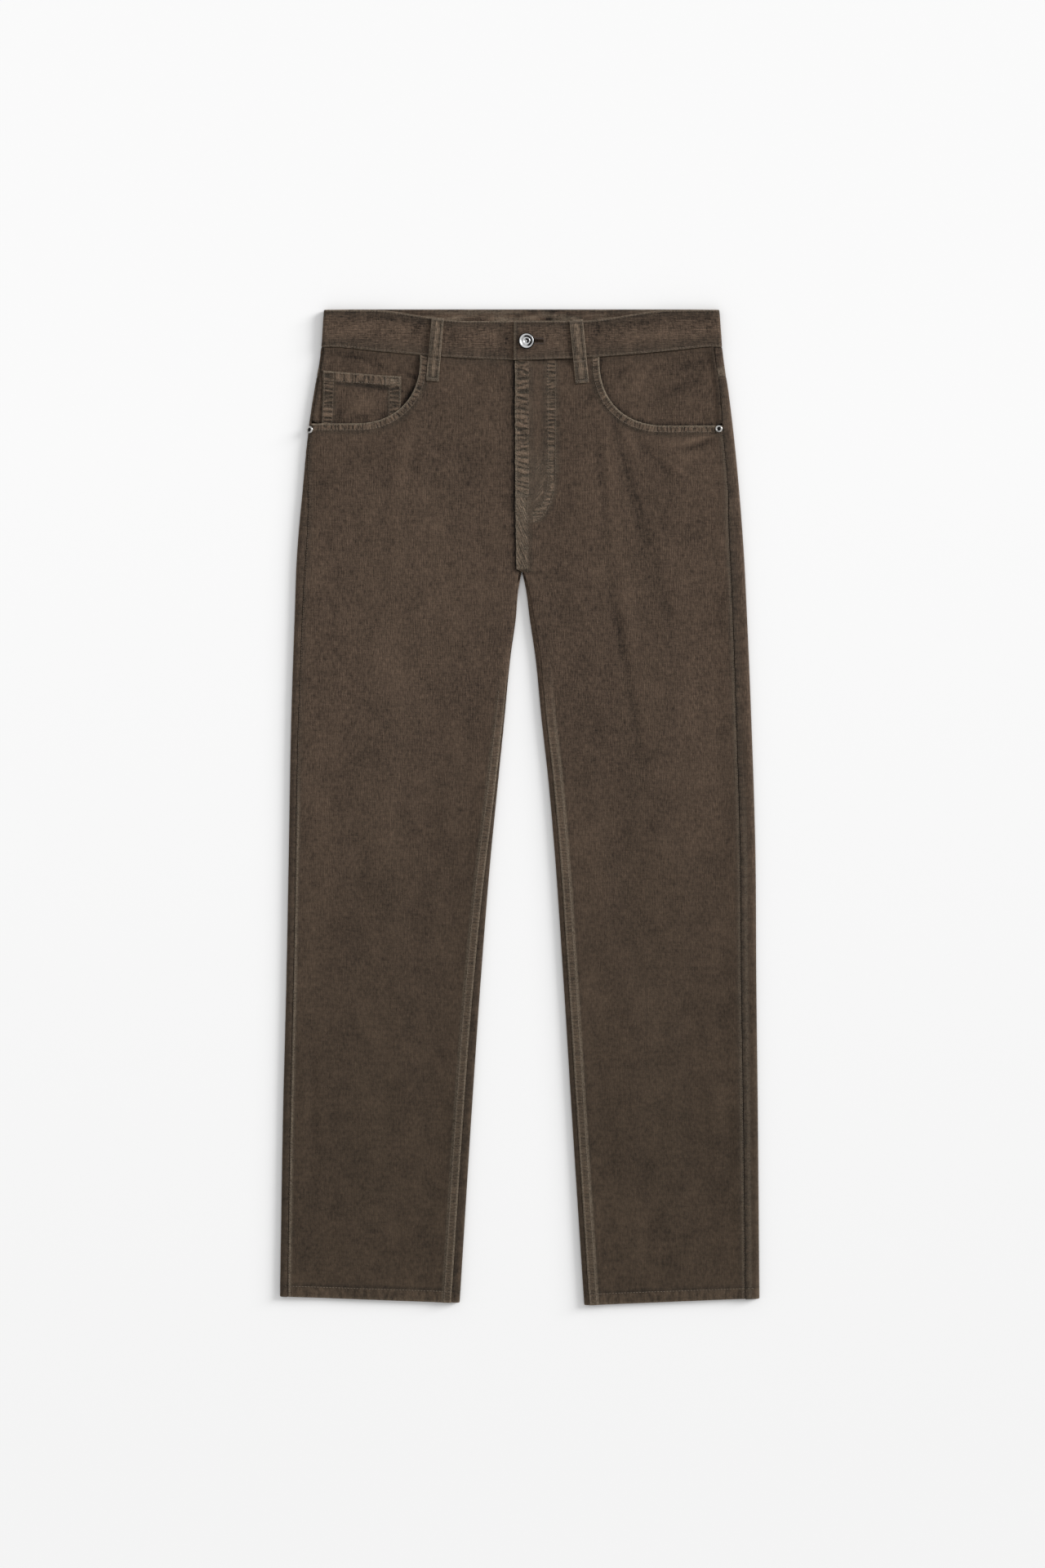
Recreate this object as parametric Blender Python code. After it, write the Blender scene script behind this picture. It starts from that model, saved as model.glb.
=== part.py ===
"""Five-pocket corduroy trousers, laid flat on a surface with the front upwards.

Sizes are in millimetres, and add_object() turns them into metres.  X runs across, Y runs from the
hems (-Y) to the waist (+Y), and Z is the height above the surface.  The wearer's right leg is on -X.
Most shapes are worked out on one half at a time, where `a` is the distance from the centre line
towards the side seam, and to_world() sets them in place.  A cloth piece is a wall: a grid of points
on one face of the cloth, and the same grid moved through its thickness.
"""

import math
from collections import namedtuple

import bpy
import numpy as np
from mathutils import Vector

MM = 0.001

# Cloth
CLOTH = 1.2               # corduroy
BAND_THICKNESS = 2.6      # waistband: two layers and its stiffening
LOOP_THICKNESS = 1.3      # belt loop: a folded strip
HEM_THICKNESS = 2.0       # turned-up hem
HEM_HEIGHT = 13.0
GAP = 0.3                 # between pieces that meet or lie on each other
SIDE_SETBACK = 0.35       # of the fronts and facings from the line of the side seam

# Levels along Y
CENTRE_X = 2.5            # centre front and centre back, from the middle of the whole outline
CROTCH_Y = 257.0
SEAT_END_Y = 262.0        # last row above the crotch
FRONT_LEG_Y = 258.0       # first row of the leg, on the fronts
BACK_LEG_Y = 254.0        # and on the backs, which rise round the crotch fold
WRAPPED_LEG_Y = 246.0     # to meet the fronts at this row
WAIST_Y = 548.1           # upper edge of the waistband at the back
BAND_LOW_Y = 506.7        # lower edge of the waistband, at the sides and along the back
YOKE_SIDE_Y = 474.7
YOKE_CENTRE_Y = 438.0
MID_YOKE_Y = 490.0        # rows that the pieces at the side seam share
MID_SCOOP_Y = 450.0
HEM_Y = {"right": (-538.7, -545.4), "left": (-541.0, -548.1)}    # at the side, at the inside leg

# The folded edges of the flat garment
FOLD_REACH = 6.0          # how far in from the edge the upper side is still rounding
FOLD_LOW = 2.6            # height of the widest line, and radius of the lower corner
SEAT_PAD = 1.6            # what the back patch pockets and loops lift the seat by

# The turned edges that stand up from a front
SCOOP_HEM = 8.0
SCOOP_HEM_RISE = 0.5
SEAM_RIDGE = 8.2          # felled inseam
SEAM_RIDGE_RISE = 0.6

# The fly, as distance from the centre line on the wearer's left
FLY_EDGE = -7.4
FLY_UNDERLAP = 10.0       # how far the right front runs on under the left one
FLY_LOW_EDGE = -6.3       # the edge at the crotch
FLY_LOW_UNDER = 4.5       # the right front's edge there, from the centre line on its own side
FLY_STITCHING = 38.0      # the facing under the left front ends here
FLY_FACING_RISE = 0.7

# The waistband, its ends and the button
BAND_TOP_Z = 7.8
BAND_DIP_TOP = 12.4       # how far its edges sink towards the centre front
BAND_DIP_LOW = 14.5
BAND_DIP_POWER = 1.6      # 1 is a straight slope to the middle, and more is rounder
BAND_TOP_STEP = 0.8       # how far the upper edge of the front lies below that of the back
BAND_STRAIGHT = 200.0     # the lower edge is level from here out to the sides
BAND_LEFT_END = -8.8      # wearer's left end, on top
BAND_UNDERLAP = 28.0      # how far the right end runs on under it
BAND_END_PRESS = 0.4      # how far the end underneath is pressed down
BUTTON_X = 7.5
BUTTON_Y = 512.6
SHANK_RADIUS = 2.5
EYE_RADIUS = 3.1          # of the buttonhole, round the shank
SLIT_RADIUS = 1.4         # half the width of its slit
SLIT_LENGTH = 17.0        # from the shank to the slit's rounded end

# The outline of each half, from the waist to the hem: distance of the side from the centre line
Side = namedtuple("Side", "y right left")
SIDE = (
    Side(548.5, 218.0, 217.5),
    Side(494.0, 222.5, 222.0),
    Side(458.0, 228.9, 227.5),
    Side(422.0, 234.3, 232.0),
    Side(350.0, 241.5, 239.2),
    Side(278.0, 247.8, 244.6),
    Side(206.0, 250.5, 248.2),
    Side(98.0, 254.1, 252.7),
    Side(-46.0, 256.8, 257.2),
    Side(-190.0, 259.5, 258.3),
    Side(-334.0, 263.1, 259.9),
    Side(-548.0, 266.7, 261.7),
)

# The inside leg: distance of its fold from the centre line
InsideLeg = namedtuple("InsideLeg", "y right left")
INSIDE_LEG = (
    InsideLeg(257.0, 0.8, 0.8),
    InsideLeg(242.0, 3.6, 4.0),
    InsideLeg(206.0, 6.9, 8.8),
    InsideLeg(170.0, 12.0, 14.2),
    InsideLeg(98.0, 19.2, 21.5),
    InsideLeg(26.0, 26.4, 29.5),
    InsideLeg(-46.0, 33.6, 35.8),
    InsideLeg(-190.0, 45.3, 45.7),
    InsideLeg(-334.0, 55.2, 54.7),
    InsideLeg(-548.0, 68.7, 68.6),
)

# How far the seams lie in from the folds, on the upper side
SeamInset = namedtuple("SeamInset", "y right left")
SIDE_SEAM = (
    SeamInset(548.0, 2.2, 9.4),
    SeamInset(450.0, 2.2, 9.6),
    SeamInset(417.0, 2.2, 11.7),
    SeamInset(385.0, 2.2, 11.7),
    SeamInset(350.0, 6.0, 12.0),
    SeamInset(313.0, 9.0, 14.4),
    SeamInset(206.0, 8.3, 15.7),
    SeamInset(-548.0, 8.3, 15.7),
)
INSEAM = (
    SeamInset(257.0, 2.4, 1.5),
    SeamInset(206.0, 0.9, 4.5),
    SeamInset(98.0, 0.9, 5.0),
    SeamInset(-10.0, 2.7, 5.0),
    SeamInset(-100.0, 5.4, 5.0),
    SeamInset(-190.0, 7.2, 5.0),
    SeamInset(-548.0, 9.0, 5.2),
)

# Height of the upper side: just inside the folds, and in the middle of the leg
Height = namedtuple("Height", "y edge middle")
HEIGHT = (
    Height(548.0, 6.6, 6.7),
    Height(440.0, 6.6, 6.6),
    Height(340.0, 6.3, 6.2),
    Height(257.0, 6.2, 5.6),
    Height(170.0, 6.0, 4.8),
    Height(-100.0, 5.9, 4.5),
    Height(-460.0, 5.9, 4.5),
    Height(-548.0, 6.2, 5.3),
)

# Front pockets: a quarter of a rounded square down from the corner at the waistband, then level
Scoop = namedtuple("Scoop", "top_a top_y low_y layers")
SCOOP = {
    "right": Scoop(112.0, 495.7, 422.1, 1.3),
    "left": Scoop(85.2, 493.3, 419.9, 0.0),
}
FACING_DEPTH = 1.7        # how far the facing lies below the upper side of the front
FACING_LEDGE = 7.8        # it sinks that far by this distance from the side seam
LEDGE_START = 1.5         # and starts to sink here
LEDGE_SHARE = np.array([0.0, 0.2, 0.6, 1.0])
FACING_HIDDEN = 22.0      # it runs on this far under the front
FACING_NOTCH = 0.8        # beside the side seam it ends this far above the pocket edge
COIN_SINK = 0.1           # how much deeper it lies where the coin pocket is under the front
SCOOP_RADIUS = 74.0
SCOOP_POWER = 2.3         # 2 is a circle, and more is squarer

# Soft folds of the upper side: middle, direction of the crease, half length, half width, height
Fold = namedtuple("Fold", "x y degrees half_length half_width height")
FOLDS = (
    Fold(166.0, 388.0, 24.0, 62.0, 18.0, -0.6),
    Fold(170.0, 366.0, 24.0, 70.0, 22.0, 0.5),
    Fold(60.0, 300.0, -52.0, 60.0, 20.0, -0.6),
    Fold(-62.0, 296.0, 50.0, 62.0, 22.0, -0.6),
    Fold(-150.0, 330.0, -20.0, 70.0, 24.0, 0.5),
    Fold(-105.0, 130.0, 83.0, 120.0, 22.0, -1.0),
    Fold(-168.0, 60.0, 88.0, 150.0, 24.0, 0.6),
    Fold(-120.0, -60.0, 76.0, 95.0, 20.0, -0.8),
    Fold(-190.0, -215.0, 84.0, 120.0, 24.0, -0.8),
    Fold(-120.0, -330.0, 96.0, 120.0, 22.0, 0.6),
    Fold(-205.0, -430.0, 80.0, 90.0, 20.0, -0.6),
    Fold(98.0, 140.0, 98.0, 120.0, 22.0, -0.9),
    Fold(170.0, 40.0, 92.0, 140.0, 24.0, 0.6),
    Fold(120.0, -90.0, 102.0, 110.0, 22.0, -0.8),
    Fold(185.0, -240.0, 96.0, 120.0, 22.0, -0.8),
    Fold(118.0, -350.0, 84.0, 110.0, 20.0, 0.6),
    Fold(200.0, -440.0, 99.0, 90.0, 20.0, -0.6),
)

# Belt loops: middle of the upper end and of the lower end, and the strip's width
Loop = namedtuple("Loop", "name top_x top_y low_x low_y width")
FRONT_LOOPS = (
    Loop("belt_loop_front_right", -90.0, 538.2, -95.9, 468.9, 13.5),
    Loop("belt_loop_front_left", 62.1, 536.0, 68.9, 466.7, 14.8),
)
BACK_LOOPS = (
    Loop("belt_loop_back_right", -128.0, 545.0, -130.0, 474.0, 13.5),
    Loop("belt_loop_back_centre", 2.5, 545.0, 2.5, 474.0, 13.5),
    Loop("belt_loop_back_left", 133.0, 545.0, 135.0, 474.0, 13.5),
)
LOOP_ARCH = 1.6
LOOP_ARCH_END = 0.66      # share of the loop that the arch takes

# The coin pocket on the right facing: its side edges, from the upper to the lower corner
Edge = namedtuple("Edge", "top_a top_y low_a low_y")
COIN_OUTER = Edge(218.7, 480.5, 221.3, 411.0)
COIN_INNER = Edge(132.8, 473.7, 133.6, 411.0)
COIN_HEM = 12.0
COIN_HEM_RISE = 0.5

# Ramps: where each one starts, and the width over which it rises from 0 to 1
MIDDLE_RAMP = (FOLD_REACH, 34.0)                                # folded edge to the middle of a leg
CROTCH_RAMP = (CROTCH_Y - 8.0, 12.0)                            # the legs join, on the upper side
CROTCH_BACK_RAMP = (CROTCH_Y, 5.0)                              # and on the underside
COIN_SIDE_RAMP = (4.0, 12.0)                                    # coin pocket, in from the side
COIN_CENTRE_RAMP = (92.0, 26.0)                                 # out from the centre line
COIN_LOW_RAMP = (368.0, 28.0)                                   # up from its lower end
PAD_SIDE_RAMP = (FOLD_REACH, 26.0)                              # layers below the seat, from the side
PAD_INSIDE_RAMP = (FOLD_LOW, 20.0)                              # from the inside leg
PAD_LOW_RAMP = (222.0, 36.0)                                    # up from their lower end
SCOOP_HEM_RAMP = (SCOOP_HEM, 3.0)
FLY_OVERLAP_RAMP = (FLY_EDGE + FLY_UNDERLAP + 4.0, 20.0)
FLY_FACING_RAMP = (FLY_STITCHING, 6.0)
SEAM_RAMP = (0.0, 12.0)                                         # the felled inseam, below the crotch
BAND_DIP_RAMP = (60.0, 110.0)                                   # out from the centre front
BAND_PRESS_RAMP = (BAND_UNDERLAP + 4.0, 26.0)
BAND_LIFT_RAMP = (BAND_UNDERLAP + 4.0, 30.0)
NO_INSIDE_LEG = 60.0                                            # distance that stands for none

# A back patch pocket, with a point in the middle of its lower edge
PATCH_CENTRE = 121.0
PATCH_HALF_TOP = 70.0
PATCH_HALF_LOW = 63.0
PATCH_TOP_Y = 428.0
PATCH_CORNER_Y = 288.0
PATCH_POINT_Y = 272.0

# Rivets: side of the garment, how far in from the edge, level
Rivet = namedtuple("Rivet", "side from_edge y")
RIVETS = (Rivet("right", 1.9, 415.5), Rivet("left", 15.9, 416.4))

# Turned metal: radius and height of each point, from the axis over the top and back below
BUTTON_PROFILE = (
    (0.0, 2.0), (1.2, 2.1), (2.6, 2.9), (3.6, 2.9), (4.8, 2.1), (6.2, 2.1), (7.3, 3.1), (8.2, 3.1),
    (8.8, 2.4), (8.8, 1.0), (8.0, 0.4), (SHANK_RADIUS, 0.3), (SHANK_RADIUS, -2.8), (0.0, -2.8),
)
RIVET_PROFILE = (
    (0.0, 1.2), (1.3, 1.1), (1.9, 0.7), (2.5, 0.9), (3.2, 1.2), (4.0, 0.6), (4.0, 0.0), (0.0, 0.0),
)
BUTTON_SEGMENTS = 36
RIVET_SEGMENTS = 20

# How finely the cloth is divided
FOLD_POINTS = 9           # round each folded edge
FLAT_POINTS = 6           # across the underside
LEG_ROWS = 17
CURVE_POINTS = 24         # of the smooth paths that the fold points are spaced along
CENTRE_STRIP = 12.0       # width of the closely divided strip at the centre back, at the crotch
CENTRE_STRIP_SPREAD = 0.25

SHARP_ANGLE = math.radians(50.0)

TAUPE = (0.078, 0.056, 0.041)
METAL = (0.62, 0.61, 0.58)


# ---------------------------------------------------------------- curves

def mix(start, end, t):
    return start + (end - start) * t


def smooth(t):
    """Rise from 0 to 1 with level ends."""
    t = np.clip(t, 0.0, 1.0)
    return t * t * (3.0 - 2.0 * t)


def rise(value, start, width):
    """Rise from 0 to 1 over the width after the start."""
    return smooth((value - start) / width)


def curve(rows, column, where):
    """Smooth curve through one column of a table, read at the level `where`."""
    level = np.array([row.y for row in reversed(rows)])
    value = np.array([getattr(row, column) for row in reversed(rows)])
    slope = np.gradient(value, level)
    where = np.clip(where, level[0], level[-1])
    k = np.clip(np.searchsorted(level, where) - 1, 0, len(level) - 2)
    span = level[k + 1] - level[k]
    t = (where - level[k]) / span
    by_value = value[k] * (1.0 + 2.0 * t) * (1.0 - t) ** 2 + value[k + 1] * t * t * (3.0 - 2.0 * t)
    by_slope = slope[k] * t * (1.0 - t) ** 2 - slope[k + 1] * t * t * (1.0 - t)
    return by_value + span * by_slope


def outer(side, y):
    """Where the side of the garment folds."""
    return curve(SIDE, side, y)


def inner(side, y):
    """Where the inside leg folds."""
    return curve(INSIDE_LEG, side, y)


def side_seam(side, y):
    return outer(side, y) - curve(SIDE_SEAM, side, y)


def inseam(side, y):
    return inner(side, y) + curve(INSEAM, side, y)


def to_x(side, a):
    return CENTRE_X + (a if side == "left" else -a)


def resample(path, count):
    """Points evenly spaced along a path of (a, z) points."""
    steps = np.hypot(*np.diff(path, axis=0).T)
    length = np.concatenate([[0.0], np.cumsum(steps)])
    where = np.linspace(0.0, length[-1], count)
    return np.stack([np.interp(where, length, path[:, k]) for k in (0, 1)], axis=1)


# ---------------------------------------------------------------- heights

def fold_height(x, y):
    """Sum of the soft folds at a place."""
    total = np.zeros(np.broadcast(x, y).shape)
    for fold in FOLDS:
        angle = math.radians(fold.degrees)
        along = (x - fold.x) * math.cos(angle) + (y - fold.y) * math.sin(angle)
        across = (y - fold.y) * math.cos(angle) - (x - fold.x) * math.sin(angle)
        total += fold.height * np.exp(-(along / fold.half_length) ** 2 - (across / fold.half_width) ** 2)
    return total


def coin_layers(side, a, y):
    """1 where the layers of the coin pocket lie under the front, 0 away from it."""
    across = rise(outer(side, y) - a, *COIN_SIDE_RAMP) * rise(a, *COIN_CENTRE_RAMP)
    return across * rise(y, *COIN_LOW_RAMP)


def top(side, a, y):
    """Height of the upper side: rounded at the folded edges, and level with soft folds inside them."""
    from_inside = a - inner(side, y) + NO_INSIDE_LEG * rise(y, *CROTCH_RAMP)
    from_edge = np.clip(np.minimum(outer(side, y) - a, from_inside), 0.0, None)
    edge_height = curve(HEIGHT, "edge", y)
    inside = rise(from_edge, *MIDDLE_RAMP)
    rounding = np.sqrt(1.0 - (1.0 - np.clip(from_edge / FOLD_REACH, 0.0, 1.0)) ** 2)
    height = mix(FOLD_LOW, edge_height, rounding)
    height = height + inside * (curve(HEIGHT, "middle", y) - edge_height + fold_height(to_x(side, a), y))
    return height + SCOOP[side].layers * coin_layers(side, a, y)


def base(side, a, y):
    """Height of the underside of the back: lifted where patch pockets and loops lie under it."""
    from_inside = a - inner(side, y) + NO_INSIDE_LEG * rise(y, *CROTCH_BACK_RAMP)
    lift = rise(outer(side, y) - a, *PAD_SIDE_RAMP) * rise(from_inside, *PAD_INSIDE_RAMP)
    return SEAT_PAD * lift * rise(y, *PAD_LOW_RAMP)


def past_scoop(side, a, y):
    """Distance from the edge of the pocket opening, positive on the front."""
    scoop = SCOOP[side]
    depth = scoop.top_y - scoop.low_y
    across = np.clip(scoop.top_a + SCOOP_RADIUS - a, 0.0, None) / SCOOP_RADIUS
    down = np.clip(scoop.top_y - y, 0.0, None) / depth
    return ((across ** SCOOP_POWER + down ** SCOOP_POWER) ** (1.0 / SCOOP_POWER) - 1.0) * depth


def front_top(side, a, y):
    """Upper side of a front, with its turned pocket edge and the layers of the fly."""
    height = top(side, a, y) + SCOOP_HEM_RISE * (1.0 - rise(past_scoop(side, a, y), *SCOOP_HEM_RAMP))
    if side == "right":
        return height
    overlap = 1.0 - rise(a, *FLY_OVERLAP_RAMP)
    facing = 1.0 - rise(a, *FLY_FACING_RAMP)
    lift = (CLOTH + 2.0 * GAP) * overlap + FLY_FACING_RISE * facing * (1.0 - overlap)
    return height + lift * rise(y, FRONT_LEG_Y, SEAT_END_Y - FRONT_LEG_Y)


def facing_top(side, a, y):
    """Upper side of a pocket facing: level with the side seam, and sunk where the front covers it."""
    depth = FACING_DEPTH + (SCOOP[side].layers + COIN_SINK) * coin_layers(side, a, y)
    from_seam = side_seam(side, y) - a
    return top(side, a, y) - depth * rise(from_seam, LEDGE_START, FACING_LEDGE - LEDGE_START)


def band_low_y(a):
    """Lower edge of the waistband on the front."""
    return BAND_LOW_Y - BAND_DIP_LOW * (1.0 - np.clip(np.abs(a) / BAND_STRAIGHT, 0.0, 1.0) ** BAND_DIP_POWER)


def band_top_y(a):
    """Upper edge of the waistband on the front."""
    return WAIST_Y - BAND_TOP_STEP - BAND_DIP_TOP * (1.0 - rise(np.abs(a), *BAND_DIP_RAMP))


def band_top_z(side, a):
    """Upper face of the waistband on the front: one end is pressed down, and the other lies on it."""
    if side == "right":
        return BAND_TOP_Z - BAND_END_PRESS * (1.0 - rise(a, *BAND_PRESS_RAMP))
    lift = BAND_THICKNESS + GAP - BAND_END_PRESS
    return BAND_TOP_Z + lift * (1.0 - rise(a, *BAND_LIFT_RAMP))


# ---------------------------------------------------------------- meshes and materials

def principled(name, colour, roughness, metallic):
    material = bpy.data.materials.new(name)
    material.use_nodes = True
    shader = material.node_tree.nodes["Principled BSDF"]
    shader.inputs["Base Color"].default_value = (*colour, 1.0)
    shader.inputs["Roughness"].default_value = roughness
    shader.inputs["Metallic"].default_value = metallic
    material.diffuse_color = (*colour, 1.0)
    return material


def add_object(name, points, faces, material):
    """Make an object from points in millimetres, shaded smooth but for its sharp edges."""
    mesh = bpy.data.meshes.new(name)
    mesh.from_pydata((points * MM).tolist(), [], faces)
    mesh.materials.append(material)
    mesh.shade_smooth()
    mesh.set_sharp_from_angle(angle=SHARP_ANGLE)
    piece = bpy.data.objects.new(name, mesh)
    bpy.context.scene.collection.objects.link(piece)
    return piece


def facing_out(points, faces):
    """The same four-sided faces, turned round if the solid they close is inside out."""
    corner = points[faces]
    halves = np.cross(corner[:, 1], corner[:, 2]) + np.cross(corner[:, 2], corner[:, 3])
    return faces if np.sum(corner[:, 0] * halves) > 0.0 else faces[:, ::-1]


def wall(name, first, second):
    """A closed cloth solid between two grids of points, with a rim round their edges."""
    rows, columns = first.shape[:2]
    number = np.arange(rows * columns).reshape(rows, columns)
    quads = np.stack([number[:-1, :-1], number[:-1, 1:], number[1:, 1:], number[1:, :-1]], axis=2)
    quads = quads.reshape(-1, 4)
    rim = np.concatenate([number[0, :-1], number[:-1, -1], number[-1, :0:-1], number[:0:-1, 0]])
    ahead = np.roll(rim, -1)
    other = rows * columns
    edge = np.stack([ahead, rim, rim + other, ahead + other], axis=1)
    faces = np.concatenate([quads, quads[:, ::-1] + other, edge])
    points = np.concatenate([first.reshape(-1, 3), second.reshape(-1, 3)])
    material = principled(name + "_cloth", TAUPE, 0.95, 0.0)
    return add_object(name, points, facing_out(points, faces).tolist(), material)


def shifted(grid, distance):
    """The grid moved along its normals, to the right of the way in which its rows run."""
    step = np.diff(grid, axis=1)
    step[:, :, 1] = 0.0
    step /= np.linalg.norm(step, axis=2, keepdims=True)
    along = np.concatenate([step[:, :1], (step[:, 1:] + step[:, :-1]) / 2.0, step[:, -1:]], axis=1)
    along /= np.linalg.norm(along, axis=2, keepdims=True)
    right = np.stack([along[:, :, 2], np.zeros(along.shape[:2]), -along[:, :, 0]], axis=2)
    return grid + right * np.broadcast_to(distance, grid.shape[:2])[:, :, None]


def to_world(side, grid):
    """Points of one half, given as (a, y, z), set in place as (x, y, z)."""
    placed = np.array(grid)
    placed[:, :, 0] = to_x(side, placed[:, :, 0])
    return placed


def layer(name, side, a, y, z, thickness):
    """A wall of cloth whose upper side is at z, with rows that run from the side to the centre."""
    grid = np.stack([a, y, z], axis=2)
    wall(name, to_world(side, grid), to_world(side, shifted(grid, -np.asarray(thickness))))


def turned(name, profile, segments, place, axis, material):
    """A metal piece turned about an axis, closed at its upper and lower centres."""
    radius, height = np.array(profile).T
    angle = np.linspace(0.0, 2.0 * math.pi, segments, endpoint=False)
    ring = np.stack([np.outer(radius[1:-1], np.cos(angle)), np.outer(radius[1:-1], np.sin(angle)),
                     np.repeat(height[1:-1, None], segments, axis=1)], axis=2)
    points = np.concatenate([ring.reshape(-1, 3), [[0.0, 0.0, height[0]], [0.0, 0.0, height[-1]]]])
    turn = Vector(axis).to_track_quat("Z", "Y").to_matrix()
    points = points @ np.array(turn).T + np.array(place)
    number = np.arange(ring.shape[0] * segments).reshape(-1, segments)
    ahead = np.roll(number, -1, axis=1)
    sides = np.stack([number[:-1], number[1:], ahead[1:], ahead[:-1]], axis=2).reshape(-1, 4).tolist()
    upper, lower = len(points) - 2, len(points) - 1
    caps = [(upper, a, b) for a, b in zip(number[0], ahead[0])]
    caps += [(lower, b, a) for a, b in zip(number[-1], ahead[-1])]
    add_object(name, points, sides + caps, material)


# ---------------------------------------------------------------- backs and yokes, folded round the edges

def side_fold(side, y):
    """Path from the side seam on the upper side, round the fold and down to the underside."""
    turn = np.linspace(0.0, math.pi / 2.0, CURVE_POINTS)
    over = (outer(side, y) - side_seam(side, y) - GAP / 2.0) * np.cos(turn)
    low = 1.0 - np.cos(turn[1:])
    a = outer(side, y) - np.concatenate([over, FOLD_LOW * low])
    z = np.concatenate([top(side, outer(side, y) - over, y), FOLD_LOW * (1.0 - np.sin(turn[1:]))])
    return resample(np.stack([a, z], axis=1), FOLD_POINTS)


def inside_fold(side, y):
    """Path from the underside, round the inside-leg fold and up to the inseam on the upper side.

    At the crotch it goes no further than the fold.
    """
    turn = np.linspace(0.0, math.pi / 2.0, CURVE_POINTS)
    wrapped = rise(BACK_LEG_Y - y, 0.0, BACK_LEG_Y - WRAPPED_LEG_Y)
    over = wrapped * (inseam(side, y) - inner(side, y) - GAP / 2.0) * np.sin(turn)
    low = 1.0 - np.sin(turn[:-1])
    a = inner(side, y) + np.concatenate([FOLD_LOW * low, over])
    z_over = mix(FOLD_LOW, top(side, inner(side, y) + over, y), wrapped)
    z = np.concatenate([FOLD_LOW * (1.0 - np.cos(turn[:-1])), z_over])
    return resample(np.stack([a, z], axis=1), FOLD_POINTS)


def centre_back(side, y):
    """Flat strip up to the centre-back seam, with as many points as the inside-leg fold."""
    width = CENTRE_STRIP + CENTRE_STRIP_SPREAD * (y - CROTCH_Y)
    a = np.linspace(width, GAP / 2.0, FOLD_POINTS)
    return np.stack([a, base(side, a, y)], axis=1)


def back_row(side, side_y, centre_y):
    """One row of a back, from the side seam round to the inseam or to the centre-back seam."""
    first = side_fold(side, side_y)
    on_leg = centre_y < CROTCH_Y
    last = inside_fold(side, centre_y) if on_leg else centre_back(side, centre_y)
    inner_end = inner(side, centre_y) if on_leg else 0.0
    flat = np.linspace(first[-1, 0], last[0, 0], FLAT_POINTS + 1)[1:-1]
    a = np.concatenate([first[:, 0], flat, last[:, 0]])
    share = (outer(side, side_y) - a) / (outer(side, side_y) - inner_end)
    y = mix(side_y, centre_y, share)
    flat_z = base(side, flat, y[FOLD_POINTS:-FOLD_POINTS])
    return np.stack([a, y, np.concatenate([first[:, 1], flat_z, last[:, 1]])], axis=1)


def seat_levels(side):
    """Levels of the side seam from the end of the scoop to the last row above the crotch."""
    return mix(SCOOP[side].low_y, SEAT_END_Y, np.array([0.0, 0.16, 0.36, 0.56, 0.76, 1.0]))


def leg_levels(side, first_y):
    """Levels down one leg as (at the side, at the inside leg), ending with the rows of the hem."""
    hem_side, hem_inside = HEM_Y[side]
    stop = HEM_HEIGHT + 1.0
    share = np.linspace(0.0, 1.0, LEG_ROWS)[1:]
    levels = [(mix(CROTCH_Y, hem_side + stop, t), mix(CROTCH_Y, hem_inside + stop, t)) for t in share]
    hem = [(hem_side + rise, hem_inside + rise) for rise in (HEM_HEIGHT, HEM_HEIGHT / 2.0, 0.0)]
    return [(first_y, first_y), (WRAPPED_LEG_Y, WRAPPED_LEG_Y)] + levels + hem


def thickness_down(rows):
    """Thickness of each row of a piece that ends in a hem, as a column."""
    thickness = np.full((rows, 1), CLOTH)
    thickness[-3:] = HEM_THICKNESS
    return thickness


def build_back(side):
    seat_side = np.concatenate([[YOKE_SIDE_Y - GAP / 2.0, MID_SCOOP_Y], seat_levels(side)])
    seat_centre = np.linspace(YOKE_CENTRE_Y - GAP / 2.0, SEAT_END_Y, len(seat_side))
    levels = list(zip(seat_side, seat_centre)) + leg_levels(side, BACK_LEG_Y)
    grid = np.array([back_row(side, *level) for level in levels])
    inside = shifted(grid, thickness_down(len(levels)))
    wall("back_" + side, to_world(side, grid), to_world(side, inside))


def build_yoke(side):
    side_y = (BAND_LOW_Y - GAP, MID_YOKE_Y, YOKE_SIDE_Y + GAP / 2.0)
    centre_y = np.linspace(BAND_LOW_Y - GAP, YOKE_CENTRE_Y + GAP / 2.0, len(side_y))
    grid = np.array([back_row(side, *level) for level in zip(side_y, centre_y)])
    wall("yoke_" + side, to_world(side, grid), to_world(side, shifted(grid, CLOTH)))


# ---------------------------------------------------------------- fronts

OUTER_STEPS = np.array([0.0, 1.6, 5.0, 12.0])          # columns near the side, from its edge
INNER_STEPS = np.array([9.8, SEAM_RIDGE, 4.0, 0.0])    # columns near the inside leg
INNER_RISE = np.array([0.0, 1.0, 1.0, 1.0])            # those on the felled seam
MIDDLE_COLUMNS = 5
SCOOP_TURN = np.radians([0.0, 25.0, 45.0, 65.0, 90.0])
SCOOP_RUN = np.array([0.42, 0.67, 0.84, 0.94, 1.0])    # places on the level stretch to the side seam
FLY_LOW_Y = 385.0         # where the row from the end of the scoop meets the fly


def scoop_edge(side):
    """Points of the pocket edge as (a, y), from the waistband to the side seam."""
    scoop = SCOOP[side]
    centre = scoop.top_a + SCOOP_RADIUS
    end = side_seam(side, scoop.low_y) - SIDE_SETBACK
    a = centre - SCOOP_RADIUS * np.cos(SCOOP_TURN) ** (2.0 / SCOOP_POWER)
    y = mix(scoop.top_y, scoop.low_y, np.sin(SCOOP_TURN) ** (2.0 / SCOOP_POWER))
    y[0] = band_low_y(a[0]) - GAP
    a = np.concatenate([a, mix(centre, end, SCOOP_RUN)])
    y = np.concatenate([y, np.full(len(SCOOP_RUN), scoop.low_y)])
    return a, y


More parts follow.
